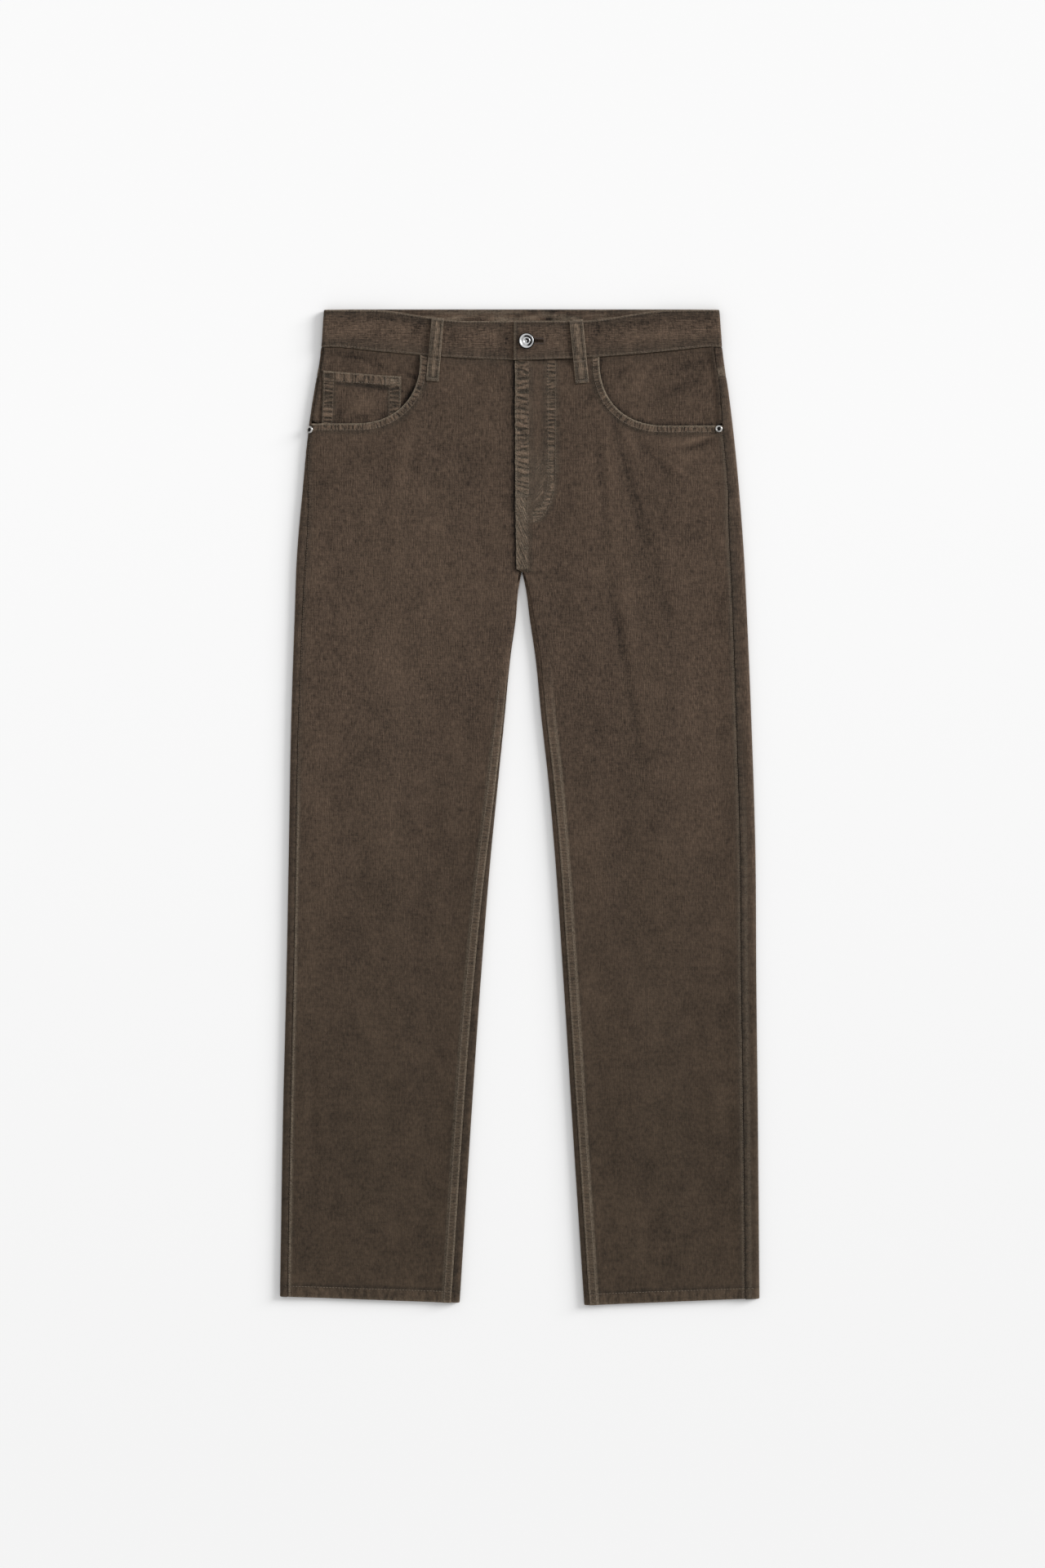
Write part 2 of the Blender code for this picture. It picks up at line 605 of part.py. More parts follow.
def centre_edge(side, y):
    """Inner edge of a front above the crotch: the left one lies over the right one."""
    if side == "left":
        return mix(FLY_LOW_EDGE, FLY_EDGE, rise(y, SEAT_END_Y, 80.0))
    return mix(FLY_LOW_UNDER, -(FLY_EDGE + FLY_UNDERLAP), rise(y, SEAT_END_Y, 50.0))


def front_ends(side):
    """Ends of each row of a front as (a, y) at the side and (a, y) at the centre, waist to hem."""
    scoop_a, scoop_y = scoop_edge(side)
    fly_y = mix(scoop_y[-1], FLY_LOW_Y, np.linspace(0.0, 1.0, len(SCOOP_RUN) + 1)[1:])
    fly_y = np.concatenate([scoop_y[:-len(SCOOP_RUN)], fly_y])
    seam_y = seat_levels(side)[1:]
    centre_y = np.concatenate([fly_y, np.linspace(FLY_LOW_Y, SEAT_END_Y, len(seam_y) + 1)[1:]])
    leg_side_y, leg_inside_y = np.array(leg_levels(side, FRONT_LEG_Y)).T
    side_y = np.concatenate([scoop_y, seam_y, leg_side_y])
    side_a = np.concatenate([scoop_a, side_seam(side, side_y[len(scoop_a):]) - SIDE_SETBACK])
    leg_inside_a = inseam(side, leg_inside_y) + GAP / 2.0
    centre_a = np.concatenate([centre_edge(side, centre_y), leg_inside_a])
    return side_a, side_y, centre_a, np.concatenate([centre_y, leg_inside_y])


def build_front(side):
    side_a, side_y, centre_a, centre_y = (end[:, None] for end in front_ends(side))
    first = side_a - OUTER_STEPS
    last = centre_a + INNER_STEPS
    share = np.linspace(0.0, 1.0, MIDDLE_COLUMNS + 2)[1:-1]
    a = np.concatenate([first, mix(first[:, -1:], last[:, :1], share), last], axis=1)
    y = mix(side_y, centre_y, (side_a - a) / (side_a - centre_a))
    y[0] = band_low_y(a[0]) - GAP
    z = front_top(side, a, y)
    on_leg = rise(FRONT_LEG_Y - centre_y, *SEAM_RAMP)
    z[:, -4:] += SEAM_RIDGE_RISE * INNER_RISE * on_leg
    layer("front_" + side, side, a, y, z, thickness_down(len(a)))


# ---------------------------------------------------------------- pockets

FACING_TURN = np.radians([0.0, 18.0, 36.0, 58.0, 76.0, 79.0, 90.0])
FACING_SHOWS = np.array([True, True, True, True, True, False, False])[:, None]    # beside the seam
FACING_COLUMNS = 7
COIN_COLUMNS = np.array([0.0, 0.045, 0.09, 0.3, 0.5, 0.7, 0.9, 1.0])


def build_facing(side):
    """Cloth behind the pocket opening, from the side seam to under the front.

    Beside the side seam it ends at the pocket edge, and further in it runs on under the front.
    """
    scoop = SCOOP[side]
    open_y = scoop.low_y + FACING_NOTCH
    side_y = np.array([BAND_LOW_Y - GAP, MID_YOKE_Y, YOKE_SIDE_Y, MID_SCOOP_Y, open_y, open_y - 0.6,
                       open_y - FACING_HIDDEN])
    reach = SCOOP_RADIUS + FACING_HIDDEN
    inner_a = scoop.top_a + SCOOP_RADIUS - reach * np.cos(FACING_TURN) ** (2.0 / SCOOP_POWER)
    inner_y = mix(scoop.top_y, side_y[-1], np.sin(FACING_TURN) ** (2.0 / SCOOP_POWER))
    seam_a = (side_seam(side, side_y) - SIDE_SETBACK)[:, None]
    near = seam_a - np.where(FACING_SHOWS, FACING_LEDGE * LEDGE_SHARE, FACING_LEDGE + 0.7 + LEDGE_SHARE)
    far = mix(near[:, -1:], inner_a[:, None], np.linspace(0.0, 1.0, FACING_COLUMNS)[1:])
    a = np.concatenate([near, far], axis=1)
    share = (near[:, -1:] - a) / (near[:, -1:] - a[:, -1:])
    y = mix(side_y[:, None], inner_y[:, None], np.clip(share, 0.0, 1.0))
    y[0] = band_low_y(a[0]) - GAP
    layer("pocket_facing_" + side, side, a, y, facing_top(side, a, y), CLOTH)


def build_coin_pocket():
    """A patch from its hemmed upper edge down to its lower part, which the front hides."""
    length = COIN_OUTER.top_y - COIN_OUTER.low_y
    below_hem = np.linspace(COIN_HEM + 8.0, length, 5)
    rows = np.concatenate([[0.0, COIN_HEM - 1.0, COIN_HEM], below_hem])[:, None] / length
    outer_a = mix(COIN_OUTER.top_a, COIN_OUTER.low_a, rows)
    outer_y = mix(COIN_OUTER.top_y, COIN_OUTER.low_y, rows)
    inner_a = mix(COIN_INNER.top_a, COIN_INNER.low_a, rows)
    inner_y = mix(COIN_INNER.top_y, COIN_INNER.low_y, rows)
    a = mix(outer_a, inner_a, COIN_COLUMNS)
    y = mix(outer_y, inner_y, COIN_COLUMNS)
    thickness = np.full(a.shape, CLOTH)
    thickness[:2] += COIN_HEM_RISE
    z = facing_top("right", a, y) + GAP + thickness
    layer("coin_pocket", "right", a, y, z, thickness)


def build_patch(side):
    """A back patch pocket: a flat plate with a pointed lower edge, on the underside."""
    half = np.array([-1.0, -0.5, 0.0, 0.5, 1.0])
    low_y = mix(PATCH_POINT_Y, PATCH_CORNER_Y, np.abs(half))
    rows = np.array([0.0, 0.5, 1.0])[:, None]
    a = PATCH_CENTRE - half * mix(PATCH_HALF_TOP, PATCH_HALF_LOW, rows)
    y = mix(PATCH_TOP_Y, low_y, rows)
    layer("back_pocket_" + side, side, a, y, np.full(a.shape, CLOTH), CLOTH)


# ---------------------------------------------------------------- waistband and belt loops

BAND_MIDDLE_Y = mix(BAND_LOW_Y, WAIST_Y, 0.5)
BAND_TURN = np.radians([60.0, 30.0, 0.0, -30.0, -60.0])      # round its folded sides
BAND_FRONT_STATIONS = 14
BAND_BACK_RISE = 36.0      # in from the side, where the back has risen on to its padding
BAND_PAD_RAMP = (8.0, 26.0)
BAND_ROWS = np.array([0.0, 0.04, 0.5, 0.96, 1.0])[:, None]
BAND_EDGE_SOFT = np.array([0.5, 0.0, 0.0, 0.0, 0.5])[:, None]


def band_run(side, a, z, on_back):
    """Stations of the waistband as (side sign, a, z, share of the back's own edges)."""
    sign = 1.0 if side == "left" else -1.0
    a, z, on_back = np.broadcast_arrays(a, z, on_back)
    return np.stack([np.full(len(a), sign), a, z, on_back], axis=1)


def band_half(side, end):
    """Stations of one half of the waistband, from its end on the front to the centre back."""
    radius = BAND_TOP_Z / 2.0
    edge = outer(side, BAND_MIDDLE_Y)
    front = np.linspace(end, edge - radius, BAND_FRONT_STATIONS)
    settled = edge - BAND_BACK_RISE
    back = np.concatenate([np.linspace(edge - radius, settled, 4), np.linspace(settled, 0.0, 9)[1:]])
    lift = SEAT_PAD * rise(edge - back, *BAND_PAD_RAMP)
    turn_a = edge - radius + radius * np.cos(BAND_TURN)
    turn_z = radius + radius * np.sin(BAND_TURN)
    return np.concatenate([
        band_run(side, front, band_top_z(side, front), 0.0),
        band_run(side, turn_a, turn_z, 0.5 - BAND_TURN / math.pi),
        band_run(side, back, lift, 1.0),
    ])


def band_spread(side, y):
    """How far out a folded side lies at a level, as a share of that at the band's middle."""
    return outer(side, y) / outer(side, BAND_MIDDLE_Y)


def build_waistband():
    """One strip: from the right end over the right front, round the back, to the left end."""
    right = band_half("right", -BAND_UNDERLAP)
    left = band_half("left", BAND_LEFT_END)
    sign, a, z, on_back = np.concatenate([right, left[-2::-1]]).T
    low_y = mix(band_low_y(a), BAND_LOW_Y, on_back)
    top_y = mix(band_top_y(a), WAIST_Y, on_back)
    y = mix(low_y, top_y, BAND_ROWS)
    spread = np.where(sign > 0.0, band_spread("left", y), band_spread("right", y))
    grid = np.stack([CENTRE_X + sign * a * spread, y, np.broadcast_to(z, y.shape)], axis=2)
    inside = shifted(grid, BAND_EDGE_SOFT - BAND_THICKNESS)
    band = wall("waistband", shifted(grid, -BAND_EDGE_SOFT), inside)
    cut_buttonhole(band)


def cut_buttonhole(band):
    """A keyhole through the upper end of the waistband, round the button's shank."""
    eye = np.radians(np.linspace(35.0, 325.0, 15))
    end = np.radians(np.linspace(-90.0, 90.0, 7))
    x = np.concatenate([EYE_RADIUS * np.cos(eye), SLIT_LENGTH + SLIT_RADIUS * np.cos(end)])
    y = np.concatenate([EYE_RADIUS * np.sin(eye), SLIT_RADIUS * np.sin(end)])
    low = BAND_TOP_Z - BAND_END_PRESS + GAP / 2.0
    high = low + 2.0 * BAND_THICKNESS
    ring = [np.stack([BUTTON_X + x, BUTTON_Y + y, np.full(len(x), z)], axis=1) for z in (low, high)]
    count = len(x)
    number = np.arange(count)
    ahead = np.roll(number, -1)
    sides = np.stack([number, ahead, ahead + count, number + count], axis=1).tolist()
    ends = [number[::-1].tolist(), (number + count).tolist()]
    material = principled("buttonhole_cut_edge", TAUPE, 0.95, 0.0)
    cutter = add_object("buttonhole_cutter", np.concatenate(ring), sides + ends, material)
    cutter.hide_render = True
    cutter.display_type = "WIRE"
    cut = band.modifiers.new("buttonhole", "BOOLEAN")
    cut.operation = "DIFFERENCE"
    cut.object = cutter


LOOP_ACROSS = np.array([-0.5, -0.38, 0.38, 0.5])
LOOP_EDGE_SOFT = np.array([0.35, 0.0, 0.0, 0.35])


def strip(name, loop, low_z, thickness, count):
    """A belt loop: a narrow strip between its ends, with its underside at low_z(x, y)."""
    t = np.linspace(0.0, 1.0, count)[:, None]
    across = LOOP_ACROSS * loop.width
    length = math.hypot(loop.low_x - loop.top_x, loop.low_y - loop.top_y)
    way_x = (loop.low_x - loop.top_x) / length
    way_y = (loop.low_y - loop.top_y) / length
    x = mix(loop.top_x, loop.low_x, t) - way_y * across
    y = mix(loop.top_y, loop.low_y, t) + way_x * across
    under = low_z(x, y, t)
    upper = np.stack([x, y, under + thickness - LOOP_EDGE_SOFT], axis=2)
    wall(name, upper, np.stack([x, y, under], axis=2))


def build_front_loop(loop):
    side = "left" if loop.top_x > CENTRE_X else "right"

    def low_z(x, y, t):
        """Over the waistband with a shallow arch, then down on to the front."""
        a = np.abs(x - CENTRE_X)
        low_edge = band_low_y(a)
        on_band = rise(y - low_edge, -9.0, 8.0)
        height = mix(front_top(side, a, y), band_top_z(side, a), on_band)
        arch = LOOP_ARCH * np.sin(math.pi * np.clip(t / LOOP_ARCH_END, 0.0, 1.0))
        return height + GAP + arch

    strip(loop.name, loop, low_z, LOOP_THICKNESS, 13)


def build_back_loop(loop):
    strip(loop.name, loop, lambda x, y, t: np.zeros(x.shape), LOOP_THICKNESS, 3)


# ---------------------------------------------------------------- button and rivets

def build_button():
    shank_foot = BAND_TOP_Z - BAND_END_PRESS + GAP
    place = (BUTTON_X, BUTTON_Y, shank_foot - BUTTON_PROFILE[-1][1] + 0.1)
    turned("waist_button", BUTTON_PROFILE, BUTTON_SEGMENTS, place, (0.0, 0.0, 1.0),
           principled("button_metal", METAL, 0.35, 1.0))


def build_rivet(rivet):
    """A rivet that lies on the front at its pocket corner, tilted with the cloth."""
    a = outer(rivet.side, rivet.y) - rivet.from_edge
    step = 0.5
    before = front_top(rivet.side, a - step, rivet.y)
    slope = (before - front_top(rivet.side, a + step, rivet.y)) / (2.0 * step)
    sign = 1.0 if rivet.side == "left" else -1.0
    axis = Vector((sign * float(slope), 0.0, 1.0)).normalized()
    on_cloth = Vector((to_x(rivet.side, a), rivet.y, float(front_top(rivet.side, a, rivet.y))))
    place = on_cloth + axis * (GAP + 0.2)
    turned("rivet_" + rivet.side, RIVET_PROFILE, RIVET_SEGMENTS, place, axis,
           principled("rivet_" + rivet.side + "_metal", METAL, 0.4, 1.0))


# ---------------------------------------------------------------- the whole garment

def clear_scene():
    for old in list(bpy.data.objects):
        bpy.data.objects.remove(old, do_unlink=True)


def build_trousers():
    clear_scene()
    for side in ("right", "left"):
        build_back(side)
        build_yoke(side)
        build_front(side)
        build_facing(side)
        build_patch(side)
    build_coin_pocket()
    build_waistband()
    for loop in FRONT_LOOPS:
        build_front_loop(loop)
    for loop in BACK_LOOPS:
        build_back_loop(loop)
    build_button()
    for rivet in RIVETS:
        build_rivet(rivet)


build_trousers()
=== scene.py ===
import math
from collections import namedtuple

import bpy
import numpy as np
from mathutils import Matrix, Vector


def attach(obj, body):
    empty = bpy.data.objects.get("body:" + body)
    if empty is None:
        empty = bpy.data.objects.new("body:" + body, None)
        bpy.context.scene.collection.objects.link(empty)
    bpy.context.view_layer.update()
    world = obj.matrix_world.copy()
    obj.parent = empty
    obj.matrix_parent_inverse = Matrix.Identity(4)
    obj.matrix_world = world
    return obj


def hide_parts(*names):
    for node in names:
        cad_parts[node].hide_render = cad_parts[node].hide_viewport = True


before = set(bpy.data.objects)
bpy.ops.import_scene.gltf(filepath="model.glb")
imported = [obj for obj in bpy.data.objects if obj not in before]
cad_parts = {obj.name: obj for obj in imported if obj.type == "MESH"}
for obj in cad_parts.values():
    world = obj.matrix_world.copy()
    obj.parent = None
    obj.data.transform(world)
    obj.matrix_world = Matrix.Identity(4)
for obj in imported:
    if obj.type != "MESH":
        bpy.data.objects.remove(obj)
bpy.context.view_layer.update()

# Five-pocket corduroy trousers, laid flat with the front upwards.
#
# Sizes are in millimetres, and cloth_shell() and the other mesh functions turn them into metres.  X
# runs across, Y from the hems to the waist, and Z up from the surface that the garment lies on.  The
# wearer's right leg is on -X.  Each half is worked out with `a`, the distance from the centre line
# towards the side.  A cloth piece is a grid of points on the outside of the cloth, with rows that run
# from the side towards the centre, and the same grid moved through its thickness.


# ---------------------------------------------------------------- backs
# Two back panels, cut on the straight grain from washed cotton corduroy.  Flat, they fold round the
# sides and the inside legs on to the upper side, where the side seams and the felled inseams join
# them to the fronts.  Each ends in a turned-up hem, sewn with one row.

MM = 0.001
CLOTH = 1.2
HEM_THICKNESS = 2
HEM_HEIGHT = 13
GAP = 0.3                 # between pieces that meet or lie on each other
CENTRE_X = 2.5
CROTCH_Y = 257
SEAT_END_Y = 262
BACK_LEG_Y = 254
WRAPPED_LEG_Y = 246
BAND_LOW_Y = 506.7
YOKE_SIDE_Y = 474.7
YOKE_CENTRE_Y = 438
HEM_Y = {"right": (-538.7, -545.4), "left": (-541, -548.1)}    # at the side, at the inside leg
FOLD_REACH = 6            # how far in from a folded edge the upper side is still rounding
FOLD_LOW = 2.6            # height of the widest line, and radius of the lower corner
FOLD_COLUMNS = 13         # points of a row round each fold
SEAT_PAD = 1.6            # what the back pockets and loops lift the seat by
HEM_ROW = 12              # height of the hem's stitches
HEM_LEVELS = np.array([HEM_HEIGHT, 11.5, 10, 8, 6, 4, 2, 0.8, 0])
YOKE_ROWS = (2, 8)        # distances of the rows of stitches from the seam
SEAT_ROWS = (1.8, 7.8)
FAR = 60                  # distance that stands for none
UP = np.array([0, 0, 1])

# Distance of the side fold from the centre line
Side = namedtuple("Side", "y right left")
SIDE = (
    Side(548.5, 218, 217.5), Side(494, 222.5, 222), Side(458, 228.9, 227.5),
    Side(422, 234.3, 232), Side(350, 241.5, 239.2), Side(278, 247.8, 244.6),
    Side(206, 250.5, 248.2), Side(98, 254.1, 252.7), Side(-46, 256.8, 257.2),
    Side(-190, 259.5, 258.3), Side(-334, 263.1, 259.9), Side(-548, 266.7, 261.7),
)

# Distance of the inside-leg fold from the centre line
InsideLeg = namedtuple("InsideLeg", "y right left")
INSIDE_LEG = (
    InsideLeg(257, 0.8, 0.8), InsideLeg(242, 3.6, 4), InsideLeg(206, 6.9, 8.8),
    InsideLeg(170, 12, 14.2), InsideLeg(98, 19.2, 21.5), InsideLeg(26, 26.4, 29.5),
    InsideLeg(-46, 33.6, 35.8), InsideLeg(-190, 45.3, 45.7), InsideLeg(-334, 55.2, 54.7),
    InsideLeg(-548, 68.7, 68.6),
)

# How far the seams lie in from those folds
SeamInset = namedtuple("SeamInset", "y right left")
SIDE_SEAM = (
    SeamInset(548, 2.2, 9.4), SeamInset(450, 2.2, 9.6), SeamInset(417, 2.2, 11.7),
    SeamInset(385, 2.2, 11.7), SeamInset(350, 6, 12), SeamInset(313, 9, 14.4),
    SeamInset(206, 8.3, 15.7), SeamInset(-548, 8.3, 15.7),
)
INSEAM = (
    SeamInset(257, 2.4, 1.5), SeamInset(206, 0.9, 4.5), SeamInset(98, 0.9, 5),
    SeamInset(-10, 2.7, 5), SeamInset(-100, 5.4, 5), SeamInset(-190, 7.2, 5),
    SeamInset(-548, 9, 5.2),
)

# Height of the upper side, just inside the folds and in the middle of a leg
Height = namedtuple("Height", "y edge middle")
HEIGHT = (
    Height(548, 6.6, 6.7), Height(440, 6.6, 6.6), Height(340, 6.3, 6.2), Height(257, 6.2, 5.6),
    Height(170, 6, 4.8), Height(-100, 5.9, 4.5), Height(-460, 5.9, 4.5), Height(-548, 6.2, 5.3),
)

# Creases that the lying cloth has, each as the x and y of its middle, its direction in degrees, its half
# length, its half width and its height
BROAD_FOLDS = (
    (166, 388, 24, 62, 18, -0.6), (170, 366, 24, 70, 22, 0.5), (60, 300, -52, 60, 20, -0.6),
    (-62, 296, 50, 62, 22, -0.6), (-150, 330, -20, 70, 24, 0.5), (-105, 130, 83, 120, 22, -1),
    (-168, 60, 88, 150, 24, 0.6), (-120, -60, 76, 95, 20, -0.8), (-190, -215, 84, 120, 24, -0.8),
    (-120, -330, 96, 120, 22, 0.6), (-205, -430, 80, 90, 20, -0.6), (98, 140, 98, 120, 22, -0.9),
    (170, 40, 92, 140, 24, 0.6), (120, -90, 102, 110, 22, -0.8), (185, -240, 96, 120, 22, -0.8),
    (118, -350, 84, 110, 20, 0.6), (200, -440, 99, 90, 20, -0.6),
)
FINE_CREASES = (
    (214, 400, 27, 34, 5, -0.8), (198, 385, 22, 40, 6, 0.5), (186, 398, 16, 30, 4.5, -0.5),
    (150, 372, 30, 46, 9, -0.4), (38, 282, -38, 40, 6, -0.6), (52, 262, -30, 46, 7, 0.4),
    (70, 236, -44, 52, 8, -0.4), (-30, 286, 41, 36, 6, -0.5), (-46, 262, 30, 48, 7, 0.4),
    (-72, 232, 47, 50, 9, -0.4), (-96, 372, 84, 70, 9, -0.4), (96, 396, 97, 64, 8, -0.5),
    (112, 330, 102, 80, 9, 0.3), (-128, 402, 70, 52, 8, 0.3), (-88, 40, 80, 90, 10, -0.5),
    (-146, -20, 86, 110, 9, 0.35), (-176, -120, 93, 80, 8, -0.35), (-104, -150, 78, 90, 9, 0.3),
    (-150, -290, 88, 100, 8, -0.35), (-212, -330, 84, 80, 8, 0.3), (-134, -470, 92, 60, 8, -0.4),
    (90, 60, 99, 90, 10, -0.5), (150, 10, 94, 110, 9, 0.35), (196, -100, 88, 90, 8, -0.35),
    (106, -190, 101, 90, 9, 0.3), (156, -300, 92, 100, 8, -0.35), (214, -350, 95, 80, 8, 0.3),
    (140, -470, 88, 60, 8, -0.4), (-238, -340, 89, 90, 4, 0.5), (-229, -330, 89, 70, 4, -0.4),
    (-220, -300, 91, 60, 5, 0.4), (232, -380, 91, 90, 5, -0.35), (-168, -420, 60, 16, 9, 0.5),
    (-192, -405, 40, 14, 8, 0.4), (128, -445, 30, 16, 8, 0.4), (160, -452, 100, 18, 7, 0.4),
)
# Under the garment the same cloth lies on the surface, so its creases only lift
UNDER_CREASES = (
    (-150, 180, 70, 90, 10, 0.7), (-96, 60, 96, 110, 9, 0.6), (-190, -60, 84, 120, 11, 0.7),
    (-124, -220, 92, 90, 8, 0.5), (-200, -380, 80, 100, 10, 0.6), (-110, -450, 98, 60, 8, 0.5),
    (142, 190, 108, 80, 10, 0.7), (100, 40, 84, 120, 9, 0.6), (196, -40, 97, 110, 11, 0.7),
    (130, -240, 88, 100, 8, 0.5), (210, -370, 95, 90, 10, 0.6), (118, -460, 82, 60, 8, 0.5),
)

# Ramps: where each one starts, and the width over which it rises from 0 to 1
MIDDLE_RAMP = (FOLD_REACH, 34)
CROTCH_RAMP = (CROTCH_Y - 8, 12)
CROTCH_BACK_RAMP = (CROTCH_Y, 5)
COIN_SIDE_RAMP = (4, 12)
COIN_CENTRE_RAMP = (92, 26)
COIN_LOW_RAMP = (368, 28)
COIN_LAYERS = {"right": 1.3, "left": 0}
PAD_SIDE_RAMP = (FOLD_REACH, 26)
PAD_INSIDE_RAMP = (FOLD_LOW, 20)
PAD_LOW_RAMP = (222, 36)

# One rib of the corduroy, crown to crown.  Fine ribs of 1.2 to 1.8 mm would make false stripes in a
# picture of the whole garment, so they are drawn this coarse: 13 to the inch
WALE_WIDTH = 1.95
PUCKER = 0.4              # how far the puckers beside a row of stitches move the cloth
PUCKER_PITCH = 7.5
RUNG_PITCH = 4.9          # of the dark lines between the puckers
LATTICE = (251, 61)       # squares of soft noise before it repeats


def mix(start, end, t):
    """The start where t is 0, the end where it is 1, and a straight line between."""
    return start + (end - start) * t


def rise(value, start=0, width=1):
    """0 before the start, then 3t^2 - 2t^3 over the width, and 1 after it."""
    t = np.clip((value - start) / width, 0, 1)
    return t * t * (3 - 2 * t)


def curve(rows, column, where):
    """Cubic through one column of a table, with the slope at each row taken from its neighbours."""
    level = np.array([row.y for row in reversed(rows)], float)
    value = np.array([getattr(row, column) for row in reversed(rows)], float)
    slope = np.gradient(value, level)
    where = np.clip(where, level[0], level[-1])
    k = np.clip(np.searchsorted(level, where) - 1, 0, len(level) - 2)
    span = level[k + 1] - level[k]
    t = (where - level[k]) / span
    by_value = value[k] * (1 + 2 * t) * (1 - t) ** 2 + value[k + 1] * t * t * (3 - 2 * t)
    by_slope = slope[k] * t * (1 - t) ** 2 - slope[k + 1] * t * t * (1 - t)
    return by_value + span * by_slope


def near(distance, width):
    """1 on a line, and exp(-(distance / width)^2) beside it."""
    return np.exp(-(distance / width) ** 2)


def lines(*marks):
    """Sum of soft lines, each given as its strength, the distance from it, and its width."""
    return sum(strength * near(distance, width) for strength, distance, width in marks)


def outer(side, y):
    """Distance of the side fold from the centre line."""
    return curve(SIDE, side, y)


def inner(side, y):
    """Distance of the inside-leg fold from the centre line."""
    return curve(INSIDE_LEG, side, y)


def side_seam(side, y):
    """The side fold, less the seam's inset."""
    return outer(side, y) - curve(SIDE_SEAM, side, y)


def inseam(side, y):
    """The inside-leg fold, and the seam's inset beyond it."""
    return inner(side, y) + curve(INSEAM, side, y)


def hem_y(side, a):
    """The hem's level: a straight line from the side fold to the inside-leg fold."""
    low_side, low_inside = HEM_Y[side]
    inside = inner(side, low_inside)
    return mix(low_inside, low_side, (a - inside) / (outer(side, low_side) - inside))


def to_x(side, a):
    """X of a place at a distance from the centre line: to +X on the left half, to -X on the right."""
    return CENTRE_X + (a if side == "left" else -a)


def creases(table, x, y):
    """Sum of soft creases: height * exp(-(along / half length)^2 - (across / half width)^2)."""
    total = np.zeros(np.broadcast(x, y).shape)
    for middle_x, middle_y, degrees, half_length, half_width, height in table:
        angle = math.radians(degrees)
        along = (x - middle_x) * math.cos(angle) + (y - middle_y) * math.sin(angle)
        across = (y - middle_y) * math.cos(angle) - (x - middle_x) * math.sin(angle)
        total += height * np.exp(-(along / half_length) ** 2 - (across / half_width) ** 2)
    return total


def soft_noise(u, v, seed):
    """From -1 to 1: random values on a lattice of unit squares, eased between their corners."""
    wide, high = LATTICE
    value = np.random.default_rng(seed).uniform(-1, 1, LATTICE)
    i, j = np.floor(u).astype(int), np.floor(v).astype(int)
    lower, upper = (mix(value[i % wide, k % high], value[(i + 1) % wide, k % high], rise(u - i))
                    for k in (j, j + 1))
    return mix(lower, upper, rise(v - j))


def coin_layers(side, a, y):
    """1 under the coin pocket and 0 beside it, as the product of three ramps."""
    across = rise(outer(side, y) - a, *COIN_SIDE_RAMP) * rise(a, *COIN_CENTRE_RAMP)
    return across * rise(y, *COIN_LOW_RAMP)


def top(side, a, y):
    """Height of the upper side: a quarter ellipse up from each fold, then level with soft creases."""
    from_inside = a - inner(side, y) + FAR * rise(y, *CROTCH_RAMP)
    from_edge = np.clip(np.minimum(outer(side, y) - a, from_inside), 0, None)
    edge_height = curve(HEIGHT, "edge", y)
    inside = rise(from_edge, *MIDDLE_RAMP)
    rounding = np.sqrt(1 - (1 - np.clip(from_edge / FOLD_REACH, 0, 1)) ** 2)
    x = to_x(side, a)
    lying = curve(HEIGHT, "middle", y) - edge_height + creases(BROAD_FOLDS, x, y)
    fine = creases(FINE_CREASES, x, y) + 0.28 * soft_noise(x / 26, y / 44, 3)
    height = mix(FOLD_LOW, edge_height, rounding) + inside * lying
    return height + rise(from_edge, 2, 16) * fine + COIN_LAYERS[side] * coin_layers(side, a, y)


def base(side, a, y):
    """Height of the underside: level, but lifted by the back pockets and loops, and by creases."""
    from_inside = a - inner(side, y) + FAR * rise(y, *CROTCH_BACK_RAMP)
    lift = rise(outer(side, y) - a, *PAD_SIDE_RAMP) * rise(from_inside, *PAD_INSIDE_RAMP)
    edge = rise(np.minimum(outer(side, y) - a, from_inside), 6, 24)
    return lift * SEAT_PAD * rise(y, *PAD_LOW_RAMP) + edge * creases(UNDER_CREASES, to_x(side, a), y)


# The inside also takes this share of the painted light and painted shade
INSIDE_SHARE = 0.3        # of the outside's puckers and wear, on the inside of the cloth

# How a place on the cloth lies to its nearest row of stitches: how far along it, how far from it, and
# how strongly the row gathers the cloth there
Gather = namedtuple("Gather", "along distance strength")


def gather(along, distance, reach, strength=1, flat=0):
    """Puckers over a band of the half width `flat`, which fade beside it as exp(-(beyond / reach)^2)."""
    along, distance = np.broadcast_arrays(along, distance)
    beyond = np.clip(np.abs(distance) - flat, 0, None)
    return Gather(along, distance, strength * near(beyond, reach))


def strongest(gathers):
    """At each place, the gather that is strongest there."""
    strength = np.stack(np.broadcast_arrays(*[g.strength for g in gathers]))
    best = np.argmax(strength, axis=0)[None]
    pick = [np.take_along_axis(np.stack(np.broadcast_arrays(*part)), best, axis=0)[0]
            for part in ([g.along for g in gathers], [g.distance for g in gathers])]
    return Gather(*pick, np.take_along_axis(strength, best, axis=0)[0])


def pucker(g):
    """Height of the puckers, -1 to 1: ridges that cross the row of stitches."""
    along = g.along + 0.08 * g.distance
    coarse = soft_noise(along / (0.5 * PUCKER_PITCH), g.distance / 14, 11)
    return g.strength * (0.7 * coarse + 0.3 * soft_noise(along / (0.24 * PUCKER_PITCH), g.distance / 8, 12))


def connect(tree, target, inputs):
    """Link or set a node's inputs, given by name or number, or in their order."""
    for key, value in (inputs if isinstance(inputs, dict) else dict(enumerate(inputs))).items():
        if isinstance(value, bpy.types.NodeSocket):
            tree.links.new(value, target.inputs[key])
        else:
            target.inputs[key].default_value = value


